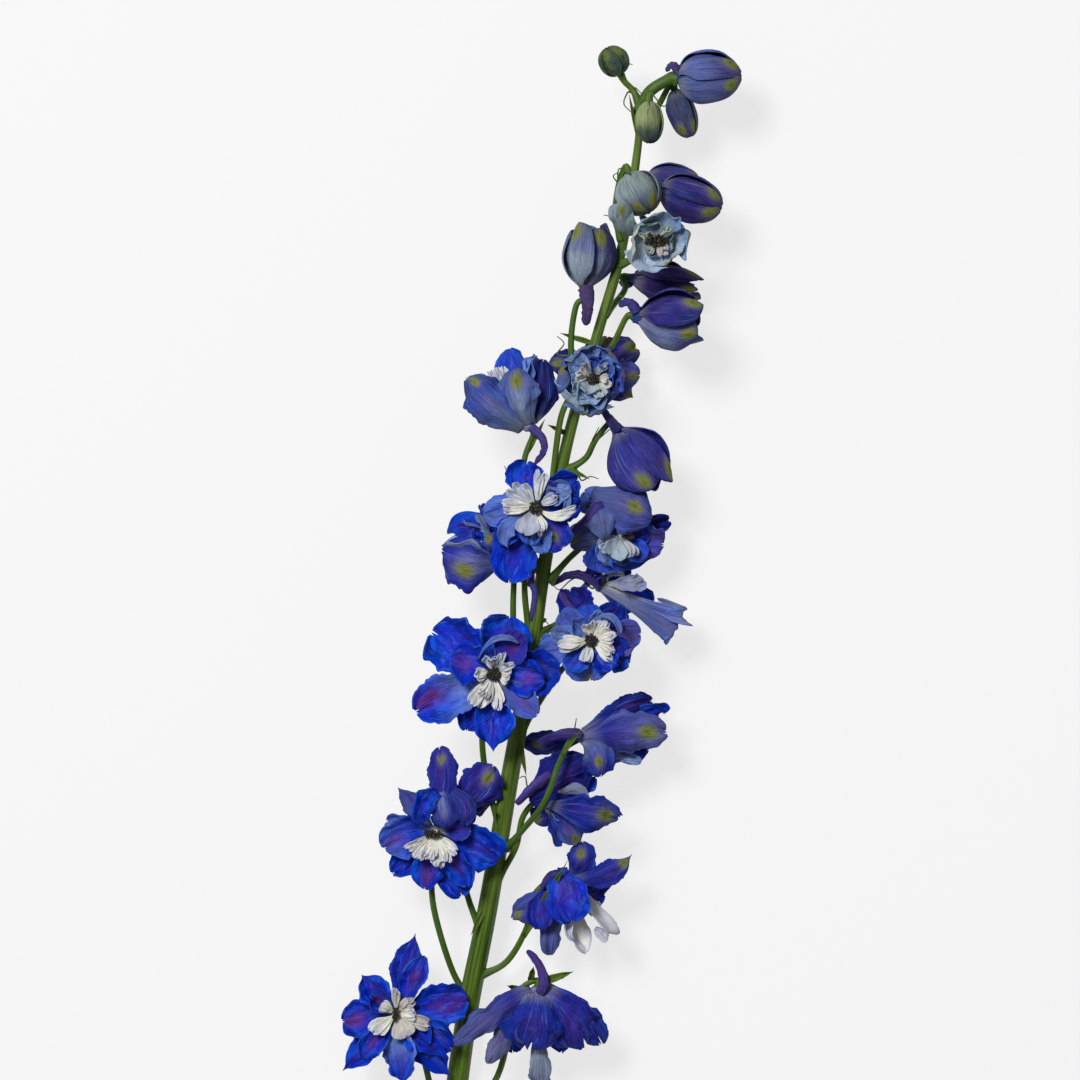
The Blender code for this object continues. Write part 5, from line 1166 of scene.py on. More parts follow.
def bud_tints(details, out):
    """Violet, navy, pale and tan of one wrapped sepal, at its foot and at its end, with painted
    light and shade.
    """
    low = details.get("pale_low", 0.0) * smooth_step(0.1, 0.7, -out[1])
    # painted light: the sepals towards the lamp, on the left, are paler than the bud's own pale
    pale = details.get("pale", 0.0) * (0.65 + 0.35 * smooth_step(-0.6, 0.6, -out[0]))
    # painted shade on the side away from the lamp, on the right: the navy is deepened and the pale
    # taken away
    dark = details.get("dark_side", 0.0) * smooth_step(0.0, 0.6, out[0])
    tints = (details.get("violet", 0.0), max(dark, details.get("navy", 0.0)),
             min(1.0, pale + low) * (1 - dark), 0.0)
    ends = (tints[0], max(tints[1], details.get("tip_navy", 0.0)), 0.2 * tints[2], 0.0)
    return tints, ends


def bud_shape(bloom, rng):
    """A closed bud: five wrapped sepals round a dark core, and its spur."""
    shape = Shape()
    details = bloom.details
    start = bloom.centre - 0.6 * RECEPTACLE_BACK * bloom.axis
    run = bloom.tip - start
    places = np.linspace(0.0, 1.0, 26)
    belly = details.get("belly", 0.5)
    for out in five_ways(bloom.axis, BUD_TURN):
        radii = bloom.radius * bud_radius(places, belly, 0.16) * 0.97
        line = start + places[:, None] * run + radii[:, None] * out
        tints, ends = bud_tints(details, out)
        wrapped(shape, bloom, line, rng, 0.84, bloom.age + rng.uniform(-0.05, 0.05), twist=0.12,
                eye=details.get("eye", 1.0), eye_at=rng.uniform(0.80, 0.90), tints=tints,
                end_tints=ends)
    core_places = np.linspace(0.0, 0.97, 14)
    radii = 0.80 * bloom.radius * bud_radius(core_places, belly, 0.3)
    ring_body(shape, start + np.outer(core_places, run), radii, 16, (bloom.age, 1.0, 0.0, 0.0),
              (1.0, 1.0, 0.0, 0.3))
    if bloom.spur:
        spur(shape, bloom, rng, bloom.age)
    return shape


def young_shape(bloom, rng):
    """A half-open bloom: wrapped sepals with free ends round pale ruffled inner petals."""
    shape = Shape()
    details = bloom.details
    places = np.linspace(0.0, 1.0, 28)[:, None]
    for blade in bloom.blades:
        line = arc(blade.root, blade.middle, blade.tip, places)
        tints, ends = bud_tints(details, unit(blade.root - bloom.centre))
        wrapped(shape, bloom, line, rng, 0.86, bloom.age + rng.uniform(-0.06, 0.06),
                open_end=details.get("open_end", 0.8), ruffle=0.9,
                streak=0.6 * details.get("pale", 0.0), tints=tints, end_tints=ends)
    for blade in bloom.blades:
        # two inner petals for each sepal: how far out, how long, and turned by a share of a fifth
        for scale, share, shift in ((0.66, 0.88, 0.5), (0.42, 0.80, 0.15)):
            turned = turn_round(bloom, shift * 2 * math.pi / 5)
            points = np.array([blade.root, blade.middle, blade.tip]) - bloom.centre
            height = points @ bloom.axis
            radial = points - height[:, None] * bloom.axis
            points = bloom.centre + np.outer(height * share, bloom.axis)
            points = points + (radial * scale) @ turned.T
            wrapped(shape, bloom, arc(*points, places), rng, 0.7, max(0.0, bloom.age - 0.25),
                    open_end=1.0, ruffle=0.9, eye=0.0, cream=0.15, tints=(0.2, 0.0, 0.3, 0.0))
    length = np.linalg.norm(bloom.tip - bloom.centre)
    core = bloom.centre + np.outer(np.linspace(-RECEPTACLE_BACK, 0.62 * length, 14), bloom.axis)
    radii = 0.42 * bloom.radius * bud_radius(np.linspace(0.0, 1.0, 14), 0.5, 0.5)
    ring_body(shape, core, radii, 14, (bloom.age, 1.0, 0.0, 0.0), (1.0, 1.0, 0.0, 0.3))
    if bloom.spur:
        spur(shape, bloom, rng, bloom.age)
    return shape


def turn_round(bloom, angle):
    """The matrix of a turn about the bloom's axis."""
    x, y, z = bloom.axis
    cross = np.array([[0, -z, y], [z, 0, -x], [-y, x, 0]])
    return np.eye(3) + math.sin(angle) * cross + (1 - math.cos(angle)) * cross @ cross


def sepal_shape(bloom, rng):
    """The blue part of an open bloom: sepals, inner petals, receptacle and spur."""
    shape = Shape()
    for blade in bloom.blades:
        if blade.kind != "bee":
            petal(shape, blade, rng, bloom.age, blade.kind)
    receptacle(shape, bloom, bloom.age)
    if bloom.spur:
        spur(shape, bloom, rng, bloom.age)
    return shape


def lobes(blade, rng):
    """The narrow, uneven lobes into which a white petal is torn; a broad one stays whole."""
    if blade.width > WIDEST_TORN:
        return [blade]
    parts = []
    for shift in (-LOBE_SHIFT, 0.0, LOBE_SHIFT):
        part = copy.copy(blade)
        length = rng.uniform(0.80, 1.02) * (1.0 if shift else 1.04)
        aside = shift * blade.width * blade.side
        tip = blade.root + length * (blade.tip - blade.root)
        part.tip = tip + aside + rng.uniform(-0.7, 0.7) * blade.face
        part.middle = blade.middle + 0.7 * aside + rng.uniform(-0.5, 0.5) * blade.face
        part.length = length * blade.length
        part.width = LOBE_WIDTH * blade.width * rng.uniform(0.8, 1.2)
        parts.append(part)
    return parts


def bee_shape(bloom, rng):
    """The torn white petals round the stamens."""
    shape = Shape()
    for blade in bloom.blades:
        if blade.kind == "bee":
            for part in lobes(blade, rng):
                petal(shape, part, rng, bloom.age, "bee", WHOLE_GRID if part is blade else LOBE_GRID)
    line = bloom.centre + np.outer(np.linspace(1.5, 2.9, 5), bloom.axis)
    ring_body(shape, line, [1.2, 1.6, 1.7, 1.5, 0.9], 14, (1, 0, 0, 0), (1, 1, 1, 0.5))
    return shape


GOLDEN_TURN = math.pi * (3 - math.sqrt(5))


def stamen_shape(bloom, rng):
    """A knot of dark anthers, each on a thin filament, round three small green pistils."""
    shape = Shape()
    across, along = bloom.details.get("anthers", (2.2, 2.2))
    off_x, off_y = bloom.details.get("anthers_at", (0.0, 0.0))
    side = unit(np.cross([0.0, 1.0, 0.15], bloom.axis))
    other = np.cross(bloom.axis, side)
    count = int(10 + 2.2 * across * along)
    middle_of_all = bloom.centre + off_x * side + off_y * other
    for k in range(count):
        spread = math.sqrt((k + 0.5) / count)
        angle = k * GOLDEN_TURN
        out = across * math.cos(angle) * side + along * math.sin(angle) * other
        foot = bloom.centre + 2.4 * bloom.axis + 0.25 * spread * out
        rise = 6.4 - 1.6 * spread + rng.uniform(-0.6, 0.6)
        head = middle_of_all + rise * bloom.axis + spread * out
        middle = 0.5 * (foot + head) + 0.1 * out
        ring_body(shape, smooth_path([foot, middle, head], 5), np.full(5, 0.16), 5,
                  (0.35, 0, 0, 0), (1, 1, 1, 0.2))
        lean = unit(bloom.axis + rng.uniform(-0.9, 0.9, 3))
        lump(shape, head, lean, 1.5, 0.55, (rng.uniform(0.35, 1.0), 0, 0, 0),
             (1, 1, 0, rng.uniform()), rng, 0.07)
    for k in range(3):
        out = math.cos(2.1 * k) * side + math.sin(2.1 * k) * other
        foot = bloom.centre + 2.4 * bloom.axis + 0.3 * out
        ring_body(shape, [foot, foot + 1.4 * bloom.axis, foot + 2.9 * bloom.axis + 0.3 * out],
                  [0.4, 0.34, 0.12], 6, (0.0, 1.0, 0, 0), (1, 1, 0, 0.7))
    return shape


BRACT_FACE = np.array([0.1, 0.1, 1.0])
BRACT_BOW = (0.10, 0.10)
BRACT_CUP = 0.3
BRACT_CLAW = 0.7
BRACT_LOOK = {"ends": "point", "belly": 0.35, "ruffle": 0.15, "crumple": 0.1, "uneven": 0.03,
              "curl": 1.5, "eye": 1.0, "eye_at": (1.0, 0.0), "eye_size": 1.2}
# Bracts on the stem and the stalks: foot, tip and width
BRACTS = [
    ((40.4, 384, 31.3), (36, 389, 36), 1.8),
    ((39.4, 376, 31), (35.4, 394, 34), 1.6),
    ((33.6, 338, 30.6), (27.8, 345, 33), 2.2),
    ((22, 294.5, 29.9), (8, 298.6, 31), 2.2),
    ((12, 258, 29.1), (2.6, 262, 33), 2),
    ((-5.6, 250, 30.6), (2, 264.6, 36), 2),
    ((8.8, 246, 28.9), (20, 240, 33), 2),
    ((4, 221, 28.2), (-12.4, 246, 30), 1.8),
    ((-8, 200, 35), (-2, 196.6, 30), 1.8),
    ((-0.6, 183, 26.6), (3.6, 184.6, 32), 2.2),
    ((-9.2, 139, 23.8), (-5.6, 121, 28.6), 2.4),
    ((8.6, 130.5, 41.5), (16.4, 140.6, 45), 1.8),
    ((-15, 98, 20.9), (-18.4, 108.6, 27), 2.4),
    ((-20.4, 71, 18.4), (-28, 57, 24), 2.6),
    ((-6.6, 57, 26), (11.2, 88.4, 37), 3.2),
    ((-7.6, 35.6, 29), (-14, 38, 36), 2.4),
    ((-0.6, 38.6, 32), (13.6, 43.6, 36), 3.2),
    ((-4, 39, 31), (-2.6, 46.6, 39), 2.6),
    ((-30, 20, 12.4), (-36, 32, 18), 2.8),
]


# Thin threads, withered bracteoles: each runs from the stalk or stem nearest to its first place
THREADS = [
    [(35, 395), (33.6, 390.4), (37.5, 386.2)],
    [(36.5, 388), (40, 387)],
    [(44, 395), (49, 389), (51, 391)],
    [(38, 397), (41, 394)],
    [(34, 406), (37, 406.2)],
    [(31, 360), (31.6, 364), (35.6, 363.4)],
    [(31, 358.5), (29.2, 361), (31.2, 362.6)],
    [(30, 341), (28.4, 345), (25.4, 346)],
    [(26.4, 305), (31, 313.5), (36, 311.5)],
    [(-10.4, 239), (-12, 241), (-14.2, 245.6)],
    [(17, 228), (20.6, 229.8), (25, 230)],
    [(16.5, 240), (20, 241.4), (23.5, 240.5)],
    [(21, 256), (23.6, 261.2)],
    [(23, 256), (31, 263)],
    [(21, 196.5), (16, 200.8), (12, 199.5), (8, 196), (5.5, 197.5)],
    [(1, 184.6), (3.6, 182)],
    [(-5, 117), (-6, 121.2), (-8.6, 120.6)],
    [(14, 141), (14.6, 144.6)],
    [(7, 290.5), (9.6, 294.6), (6.8, 297.6)],
]
THREAD_RADIUS = 0.34
THREAD_RISE = 3.0


def threads(shape, blooms, rng):
    """Each thread as a thin tapering tube that starts inside the stalk or stem beside it."""
    lines = [STEM_LINE[:, :3]] + [stalk_line(bloom, extra=4) for bloom in blooms]
    places = np.concatenate(lines)
    for flat in THREADS:
        gaps = np.hypot(places[:, 0] - flat[0][0], places[:, 1] - flat[0][1])
        start = places[np.argmin(gaps)]
        points = [start] + [np.array([x, y, start[2] + THREAD_RISE * (k + 1) / len(flat)])
                            for k, (x, y) in enumerate(flat)]
        line = smooth_path(points, 6 * len(points))
        radii = THREAD_RADIUS * (1.25 - 0.75 * np.linspace(0.0, 1.0, len(line)))
        ring_body(shape, line, radii, 7, (0.0, 0.3, 0.0, 0.0), (1, 1, 0, rng.uniform()))


def stem_shape(rng):
    """The stem, ribbed lengthwise, with a clean cut at its lower end."""
    shape = Shape()
    rows = smooth_path(STEM, 150)
    line, radii = rows[:, :3], rows[:, 3]
    runs = units(np.gradient(line, axis=0))
    sides = 36
    angles = np.linspace(0.0, 2 * math.pi, sides, endpoint=False)
    cosines, sines = np.cos(angles), np.sin(angles)
    noise = Crumple(rng, 2.2)
    rings = []
    for k, (centre, run, radius) in enumerate(zip(line, runs, radii)):
        across = unit(np.cross(run, UP))
        ribs = 0.016 * np.cos(7 * angles + 0.2 * math.sin(0.05 * k))
        ribs = ribs + 0.012 * np.cos(13 * angles + 1.0)
        out = radius * (1 + ribs) + 0.05 * noise.at(cosines + 0.02 * k, sines)
        around = cosines[:, None] * across + sines[:, None] * np.cross(across, run)
        rings.append(centre + out[:, None] * around)
    # the cut end from its middle out: size over the stem's, depth, and paleness
    cut = [(0.30, 0.45, 1.0), (0.74, 0.25, 0.9), (0.86, 0.0, 0.3)]
    inner = [line[0] + share * (rings[0] - line[0]) + depth * runs[0] for share, depth, _ in cut]
    rings = np.array(inner + rings)
    rings[..., 2] = np.maximum(rings[..., 2], 0.02)
    marks = np.zeros((rings.shape[0] * sides + 2, 4))
    marks[:len(cut) * sides, 2] = np.repeat([paleness for _, _, paleness in cut], sides)
    marks[-2, 2] = 1.0
    tube(shape, rings, line[0] + 0.45 * runs[0], line[-1], (0, 0, 0, 0), marks)
    return shape


def stalk_shape(rng, blooms):
    """Each bloom's stalk, thicker at its foot and where it meets the bloom."""
    shape = Shape()
    for bloom in blooms:
        line = stalk_line(bloom, gap=-1.0, extra=4)
        places = np.linspace(0.0, 1.0, len(line))
        steps = np.concatenate([[0.0], np.cumsum(np.linalg.norm(np.diff(line, axis=0), axis=1))])
        foot = np.exp(-(steps / 5.0) ** 2)
        head = np.exp(-((steps[-1] - steps) / 2.6) ** 2)
        girth = bloom.details.get("stalk_radius", STALK_RADIUS)
        radii = girth * (1.12 - 0.14 * places + 0.75 * foot + 0.45 * head)
        green = 0.25 + 0.5 * (rng.uniform() > 0.6)
        ring_body(shape, line, radii, 14, (0.0, green, 0.0, 0.0), (1, 1, 0, rng.uniform()), ribs=5,
                  relief=0.03, rng=rng, rough=0.03)
    return shape


def bract_shape(rng):
    """The thin green bracts, with brown tips."""
    shape = Shape()
    for foot, tip, width in BRACTS:
        foot, tip = np.array(foot, dtype=float), np.array(tip, dtype=float)
        blade = Blade("stem", foot, tip, BRACT_FACE, width, BRACT_BOW, BRACT_CUP, BRACT_CLAW)
        blade.look = BRACT_LOOK
        start = len(shape.looks)
        petal(shape, blade, rng, 0.0, "sepal", LOBE_GRID)
        for k in range(start, len(shape.looks)):
            shape.looks[k] = shape.looks[k] * np.array([0.0, 0.0, 0.0, 1.0])
            shape.marks[k] = shape.marks[k] * np.array([1.0, 1.0, 0.0, 1.0])
    return shape


def make_piece(name, shape, material, node):
    """Turns a gathered shape into an object that stands for a node."""
    points = np.concatenate(shape.points)
    faces = [tuple(face) for group in shape.faces for face in group.tolist()]
    mesh = bpy.data.meshes.new(name)
    mesh.from_pydata(((points - MIDDLE) * MM).tolist(), [], faces)
    for label, rows in (("look", shape.looks), ("marks", shape.marks), ("tints", shape.tints)):
        layer = mesh.color_attributes.new(label, "FLOAT_COLOR", "POINT")
        layer.data.foreach_set("color", np.concatenate(rows).astype(np.float32).ravel())
    places = np.concatenate(shape.uvs).astype(np.float32)
    corners = np.empty(len(mesh.loops), dtype=np.int32)
    mesh.loops.foreach_get("vertex_index", corners)
    mesh.uv_layers.new(name="petal").data.foreach_set("uv", places[corners].ravel())
    body = bmesh.new()
    body.from_mesh(mesh)
    bmesh.ops.recalc_face_normals(body, faces=body.faces)
    body.to_mesh(mesh)
    body.free()
    mesh.shade_smooth()
    mesh.materials.append(material)
    piece = bpy.data.objects.new(name, mesh)
    bpy.context.collection.objects.link(piece)
    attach(piece, "root")
    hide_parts(node)


# How far apart in the noise two petals are
SEED_STEP = 37.0


class Nodes:
    """A material's node tree, with short calls for the nodes used here."""

    def __init__(self, name):
        self.material = bpy.data.materials.new(name)
        self.material.use_nodes = True
        self.tree = self.material.node_tree
        self.shader = self.tree.nodes["Principled BSDF"]
        self.age, self.outer, self.blush, self.eye_strength = self.layer("look")
        self.eye, self.edge, self.cream, self.seed = self.layer("marks")
        self.first, self.second, self.pale, self.tan = self.layer("tints")
        uv = self.add("ShaderNodeUVMap", uv_map="petal")
        split = self.add("ShaderNodeSeparateXYZ")
        self.link(uv.outputs[0], split.inputs[0])
        self.across, self.along = split.outputs[0], split.outputs[1]

    def add(self, kind, **values):
        """A node of the given kind."""
        node = self.tree.nodes.new(kind)
        for name, value in values.items():
            setattr(node, name, value)
        return node

    def link(self, a, b):
        self.tree.links.new(a, b)

    def layer(self, name):
        """The four values that a layer of the mesh holds."""
        painted = self.add("ShaderNodeAttribute", attribute_name=name)
        split = self.add("ShaderNodeSeparateColor")
        self.link(painted.outputs["Color"], split.inputs[0])
        return (*split.outputs, painted.outputs["Alpha"])

    def put(self, socket, value):
        """Gives a socket another node's output or a fixed value."""
        if isinstance(value, bpy.types.NodeSocket):
            self.link(value, socket)
        else:
            socket.default_value = value

    def math(self, operation, a, b=0.0, clamp=False):
        """The outcome of a sum of two values."""
        node = self.add("ShaderNodeMath", operation=operation, use_clamp=clamp)
        self.put(node.inputs[0], a)
        self.put(node.inputs[1], b)
        return node.outputs[0]

    def times(self, first, *others, clamp=False):
        """The product of the values."""
        for other in others:
            first = self.math("MULTIPLY", first, other, clamp)
        return first

    def level(self, value, low, more):
        """The value times more, on top of low."""
        return self.math("ADD", low, self.times(value, more))

    def less(self, value, whole=1.0, clamp=False):
        """What the value leaves of the whole."""
        return self.math("SUBTRACT", whole, value, clamp)

    def mix(self, factor, a, b):
        """Colour a, blended into colour b by the factor."""
        node = self.add("ShaderNodeMix", data_type="RGBA")
        self.put(node.inputs[0], factor)
        for socket, value in ((node.inputs[6], a), (node.inputs[7], b)):
            self.put(socket, value if isinstance(value, bpy.types.NodeSocket) else (*value, 1.0))
        return node.outputs[2]

    def paint(self, base, colour, *weights, clamp=False):
        """The base with a colour laid over it, as strong as the product of the weights."""
        return self.mix(self.times(*weights, clamp=clamp), base, colour)

    def band(self, value, low, high):
        """0 below low and 1 above high, smooth between."""
        node = self.add("ShaderNodeMapRange", interpolation_type="SMOOTHSTEP")
        self.put(node.inputs[0], value)
        node.inputs[1].default_value, node.inputs[2].default_value = low, high
        return node.outputs[0]

    def ramp(self, factor, stops):
        """The colour at a place between stops."""
        node = self.add("ShaderNodeValToRGB")
        elements = node.color_ramp.elements
        while len(elements) < len(stops):
            elements.new(0.5)
        for element, (place, colour) in zip(elements, stops):
            element.position, element.color = place, (*colour, 1.0)
        self.put(node.inputs[0], factor)
        return node.outputs[0]

    def noise(self, across, along, detail=2.0, distortion=0.0, roughness=0.5):
        """Noise over the petal's own places, stretched by the two scales and unlike on each."""
        place = self.add("ShaderNodeCombineXYZ")
        for socket, value, scale in zip(place.inputs, (self.across, self.along, self.seed),
                                        (across, along, SEED_STEP)):
            self.link(self.times(value, scale), socket)
        node = self.add("ShaderNodeTexNoise")
        self.link(place.outputs[0], node.inputs["Vector"])
        for name, value in (("Scale", 1.0), ("Detail", detail), ("Roughness", roughness),
                            ("Distortion", distortion)):
            node.inputs[name].default_value = value
        return node.outputs[0]

    def finish(self, base, roughness, specular, height, strength, distance):
        """Gives the shader its colour, gloss and relief, and hands the material over."""
        self.link(base, self.shader.inputs["Base Color"])
        self.shader.inputs["Roughness"].default_value = roughness
        self.shader.inputs["Specular IOR Level"].default_value = specular
        node = self.add("ShaderNodeBump")
        node.inputs["Strength"].default_value = strength
        node.inputs["Distance"].default_value = distance
        self.link(height, node.inputs["Height"])
        self.link(node.outputs[0], self.shader.inputs["Normal"])
        return self.material


# Colours by age, from a green-grey bud to a cobalt petal: inner side, then outer side
INNER = [(0.0, (0.36, 0.46, 0.33)), (0.25, (0.26, 0.37, 0.50)), (0.5, (0.080, 0.155, 0.48)),
         (0.75, (0.024, 0.078, 0.52)), (1.0, (0.0012, 0.027, 0.50))]
OUTER = [(0.0, (0.040, 0.070, 0.026)), (0.2, (0.070, 0.110, 0.120)), (0.45, (0.046, 0.084, 0.270)),
         (0.7, (0.018, 0.050, 0.290)), (1.0, (0.010, 0.026, 0.285))]
CREAM = (0.62, 0.63, 0.54)
BLUSH = (0.150, 0.032, 0.200)
# the rim's colour: the petals' own paler edge and painted highlight
RIM_AND_HIGHLIGHT = (0.060, 0.160, 0.60)
EYE = (0.17, 0.19, 0.028)
EYE_DARK = (0.045, 0.048, 0.008)
EYE_RING = (0.14, 0.13, 0.30)
# painted shade: dark navy for shaded clouds and crinkle hollows, and for the veins
SHADOW = (0.0008, 0.0015, 0.055)
# painted highlight: the brighter azure of lit clouds on the inner side
AZURE_HIGHLIGHT = (0.004, 0.100, 0.78)
# painted highlight on the ridges of the crinkles
CRINKLE_HIGHLIGHT = (0.075, 0.200, 0.78)
VIOLET = (0.036, 0.017, 0.235)
NAVY = (0.0012, 0.0022, 0.050)
PALE = (0.28, 0.42, 0.68)
PALE_OUTER = [(0.0, (0.34, 0.41, 0.19)), (0.2, (0.36, 0.46, 0.42)), (0.6, (0.22, 0.29, 0.46))]
TAN = (0.24, 0.17, 0.13)
MOTTLE = (0.100, 0.130, 0.030)
STREAK = (0.12, 0.18, 0.60)
STREAK_OUTER = (0.20, 0.27, 0.52)

WHITE = (0.74, 0.73, 0.62)
WHITE_SHADE = (0.60, 0.60, 0.57)
YELLOW = (0.50, 0.50, 0.19)
LILAC = (0.26, 0.28, 0.60)
# a bluish painted shade for the white petals
BLUE_SHADE = (0.26, 0.34, 0.56)
GREY_GREEN = (0.25, 0.32, 0.20)
WHITE_VEIN = (0.36, 0.35, 0.44)

# By lightness given to each anther, filament and pistil
STAMEN = [(0.0, (0.10, 0.14, 0.03)), (0.25, (0.14, 0.14, 0.07)), (0.4, (0.014, 0.010, 0.008)),
          (0.80, (0.008, 0.006, 0.006)), (1.0, (0.055, 0.050, 0.018))]

# The stem's streaks, the lightest of them partly painted highlight, its shaded stalks, blotches,
# brown tips of bracts, and the cut end
STEM_GREEN = [(0.30, (0.020, 0.052, 0.003)), (0.50, (0.062, 0.118, 0.009)),
              (0.72, (0.140, 0.190, 0.030))]
STALK_GREEN = (0.022, 0.085, 0.012)
BLOTCH = (0.050, 0.065, 0.014)
BROWN = (0.060, 0.032, 0.020)
PITH = (0.42, 0.48, 0.24)


def petal_material(name, roughness):
    """Satin petal skin: age and side set its blue, with veins, blush, pale rim and eye."""
    n = Nodes(name)
    inner = n.less(n.outer)
    grown = n.band(n.age, 0.0, 0.5)
    base = n.mix(n.outer, n.ramp(n.age, INNER), n.ramp(n.age, OUTER))
    # brighter azure clouds of painted highlight, and darker clouds of painted shade
    base = n.paint(base, AZURE_HIGHLIGHT, n.band(n.noise(2.6, 2.2, 2.0, 0.6), 0.42, 0.64), inner, 0.60)
    base = n.paint(base, SHADOW, n.band(n.noise(4.0, 2.0, 3.0, 0.4), 0.50, 0.64), n.age, 0.55)
    # crinkles: painted highlight on their ridges and painted shade in their hollows
    crinkle = n.noise(9.0, 3.6, 4.0, 1.2, 0.62)
    base = n.paint(base, CRINKLE_HIGHLIGHT, n.band(crinkle, 0.54, 0.70), grown, n.level(inner, 0.22, 0.26))
    base = n.paint(base, n.mix(0.8, base, SHADOW), n.band(crinkle, 0.46, 0.32), 0.45)
    # violet clouds
    base = n.paint(base, VIOLET, n.band(n.noise(5.0, 3.4, 3.0, 0.6), 0.50, 0.68), grown, 0.20)
    mottle = n.times(n.band(n.noise(3.4, 2.0, 3.0, 0.8), 0.44, 0.66), n.outer)
    base = n.paint(base, MOTTLE, mottle, n.less(n.age, 0.90, clamp=True))
    # the colours that each blade is given
    cloudy = n.band(n.noise(4.5, 2.4, 3.0, 0.6), 0.22, 0.62)
    for weight, colour in ((n.first, VIOLET), (n.second, NAVY), (n.tan, TAN)):
        base = n.paint(base, colour, weight, n.level(cloudy, 0.55, 0.55), clamp=True)
    light = n.mix(n.outer, PALE, n.ramp(n.age, PALE_OUTER))
    base = n.paint(base, light, n.pale, n.band(n.noise(6.0, 2.0, 3.0, 0.5), 0.10, 0.50), clamp=True)
    blush = n.times(n.blush, n.band(n.noise(3.0, 2.4, 3.0), 0.20, 0.55))
    base = n.paint(base, BLUSH, n.math("MINIMUM", blush, 0.75), grown)
    base = n.paint(base, CREAM, n.cream, n.band(n.noise(7.0, 3.0, 3.0, 0.5), 0.12, 0.55))
    # veins and lighter streaks along the blade
    veins = n.noise(44.0, 2.2, 2.0, 0.3)
    vein_colour = n.mix(0.75, base, SHADOW)
    base = n.paint(base, vein_colour, n.band(veins, 0.54, 0.70), n.level(n.outer, 0.20, 0.50))
    streaks = n.band(n.noise(24.0, 1.4, 2.0, 0.2), 0.56, 0.76)
    streak_colour = n.mix(0.5, base, n.mix(n.outer, STREAK, STREAK_OUTER))
    base = n.paint(base, streak_colour, streaks, n.level(n.outer, 0.20, 0.45),
                   n.level(grown, 0.2, 0.8))
    # a patchy pale rim: partly the petals' own paler edge, partly painted highlight where the edges
    # catch the light
    edge = n.math("ADD", n.edge, n.times(n.noise(11.0, 8.0), 0.14))
    patchy = n.band(n.noise(3.0, 3.0, 2.0), 0.42, 0.62)
    base = n.paint(base, RIM_AND_HIGHLIGHT, n.less(n.band(edge, 0.08, 0.34)), patchy, n.level(inner, 0.16, 0.40),
                   grown)
    # the eye: a soft ring, then a green spot with a darker middle
    wavy = n.math("ADD", n.eye, n.times(n.math("SUBTRACT", n.noise(12.0, 8.0), 0.5), 0.20))
    base = n.paint(base, EYE_RING, n.less(n.band(wavy, 0.28, 0.75)), n.eye_strength, 0.35, grown)
    spot = n.paint(EYE, EYE_DARK, n.less(n.band(wavy, 0.02, 0.16)), 0.45)
    base = n.paint(base, spot, n.less(n.band(wavy, 0.12, 0.46)), n.eye_strength, 0.95)
    height = n.math("ADD", n.times(veins, 0.5), n.noise(14.0, 6.0, 4.0, 1.0, 0.6))
    height = n.math("ADD", height, n.times(crinkle, 1.2))
    return n.finish(base, roughness, 0.04, height, 0.75, 0.0010)


def bee_material():
    """Cream-white petals, yellower at the foot, with lilac shadow towards their ends."""
    n = Nodes("bee_petal")
    base = n.mix(n.band(n.noise(5.0, 3.0, 2.0), 0.3, 0.7), WHITE, WHITE_SHADE)
    base = n.paint(base, YELLOW, n.cream, n.band(n.noise(3.0, 2.0), 0.3, 0.6), 0.8)
    far = n.band(n.along, 0.45, 1.0)
    base = n.paint(base, LILAC, far, n.band(n.noise(9.0, 4.0, 3.0, 0.6), 0.34, 0.64), 0.62)
    cloudy = n.level(n.noise(4.0, 2.4, 3.0, 0.6), 0.6, 0.6)
    # on the white petals blue is a bluish painted shade; green and tan are tints as given
    for weight, colour in ((n.first, BLUE_SHADE), (n.second, GREY_GREEN), (n.tan, TAN)):
        base = n.paint(base, colour, weight, cloudy, clamp=True)
    vein_colour = n.mix(0.6, base, WHITE_VEIN)
    base = n.paint(base, vein_colour, n.band(n.noise(38.0, 2.0, 2.0), 0.56, 0.72), 0.40)
    return n.finish(base, 0.55, 0.25, n.noise(22.0, 7.0, 3.0, 0.6), 0.4, 0.0006)


def stamen_material():
    """Dark brown anthers, pale filaments and green pistils."""
    n = Nodes("stamen")
    return n.finish(n.ramp(n.age, STAMEN), 0.6, 0.5, n.noise(12.0, 12.0, 3.0), 0.6, 0.0003)


def stem_material(name, lengthwise):
    """Satin green with darker and lighter streaks along it; the cut end is paler."""
    n = Nodes(name)
    # streaks: the stem's own stripes, the lightest of them partly painted highlight where the stem
    # is lit
    base = n.ramp(n.noise(16.0, lengthwise, 3.0, 0.2), STEM_GREEN)
    base = n.paint(base, STALK_GREEN, n.outer, 0.6)
    blotches = n.band(n.noise(2.5, 0.6 * lengthwise, 3.0, 0.5), 0.52, 0.75)
    base = n.paint(base, BLOTCH, blotches, 0.4)
    base = n.paint(base, BROWN, n.less(n.band(n.eye, 0.1, 0.6)), n.eye_strength, 0.85)
    base = n.paint(base, PITH, n.cream)
    return n.finish(base, 0.42, 0.2, n.noise(60.0, 2.0 * lengthwise, 3.0), 0.35, 0.0004)


FLOOR_REACH = 6.0
FLOOR_GREYS = (0.148, 0.152)
FLOOR_GLOW = 0.749
FLOOR_GLOW_COLOUR = (1.0, 0.995, 0.995, 1.0)


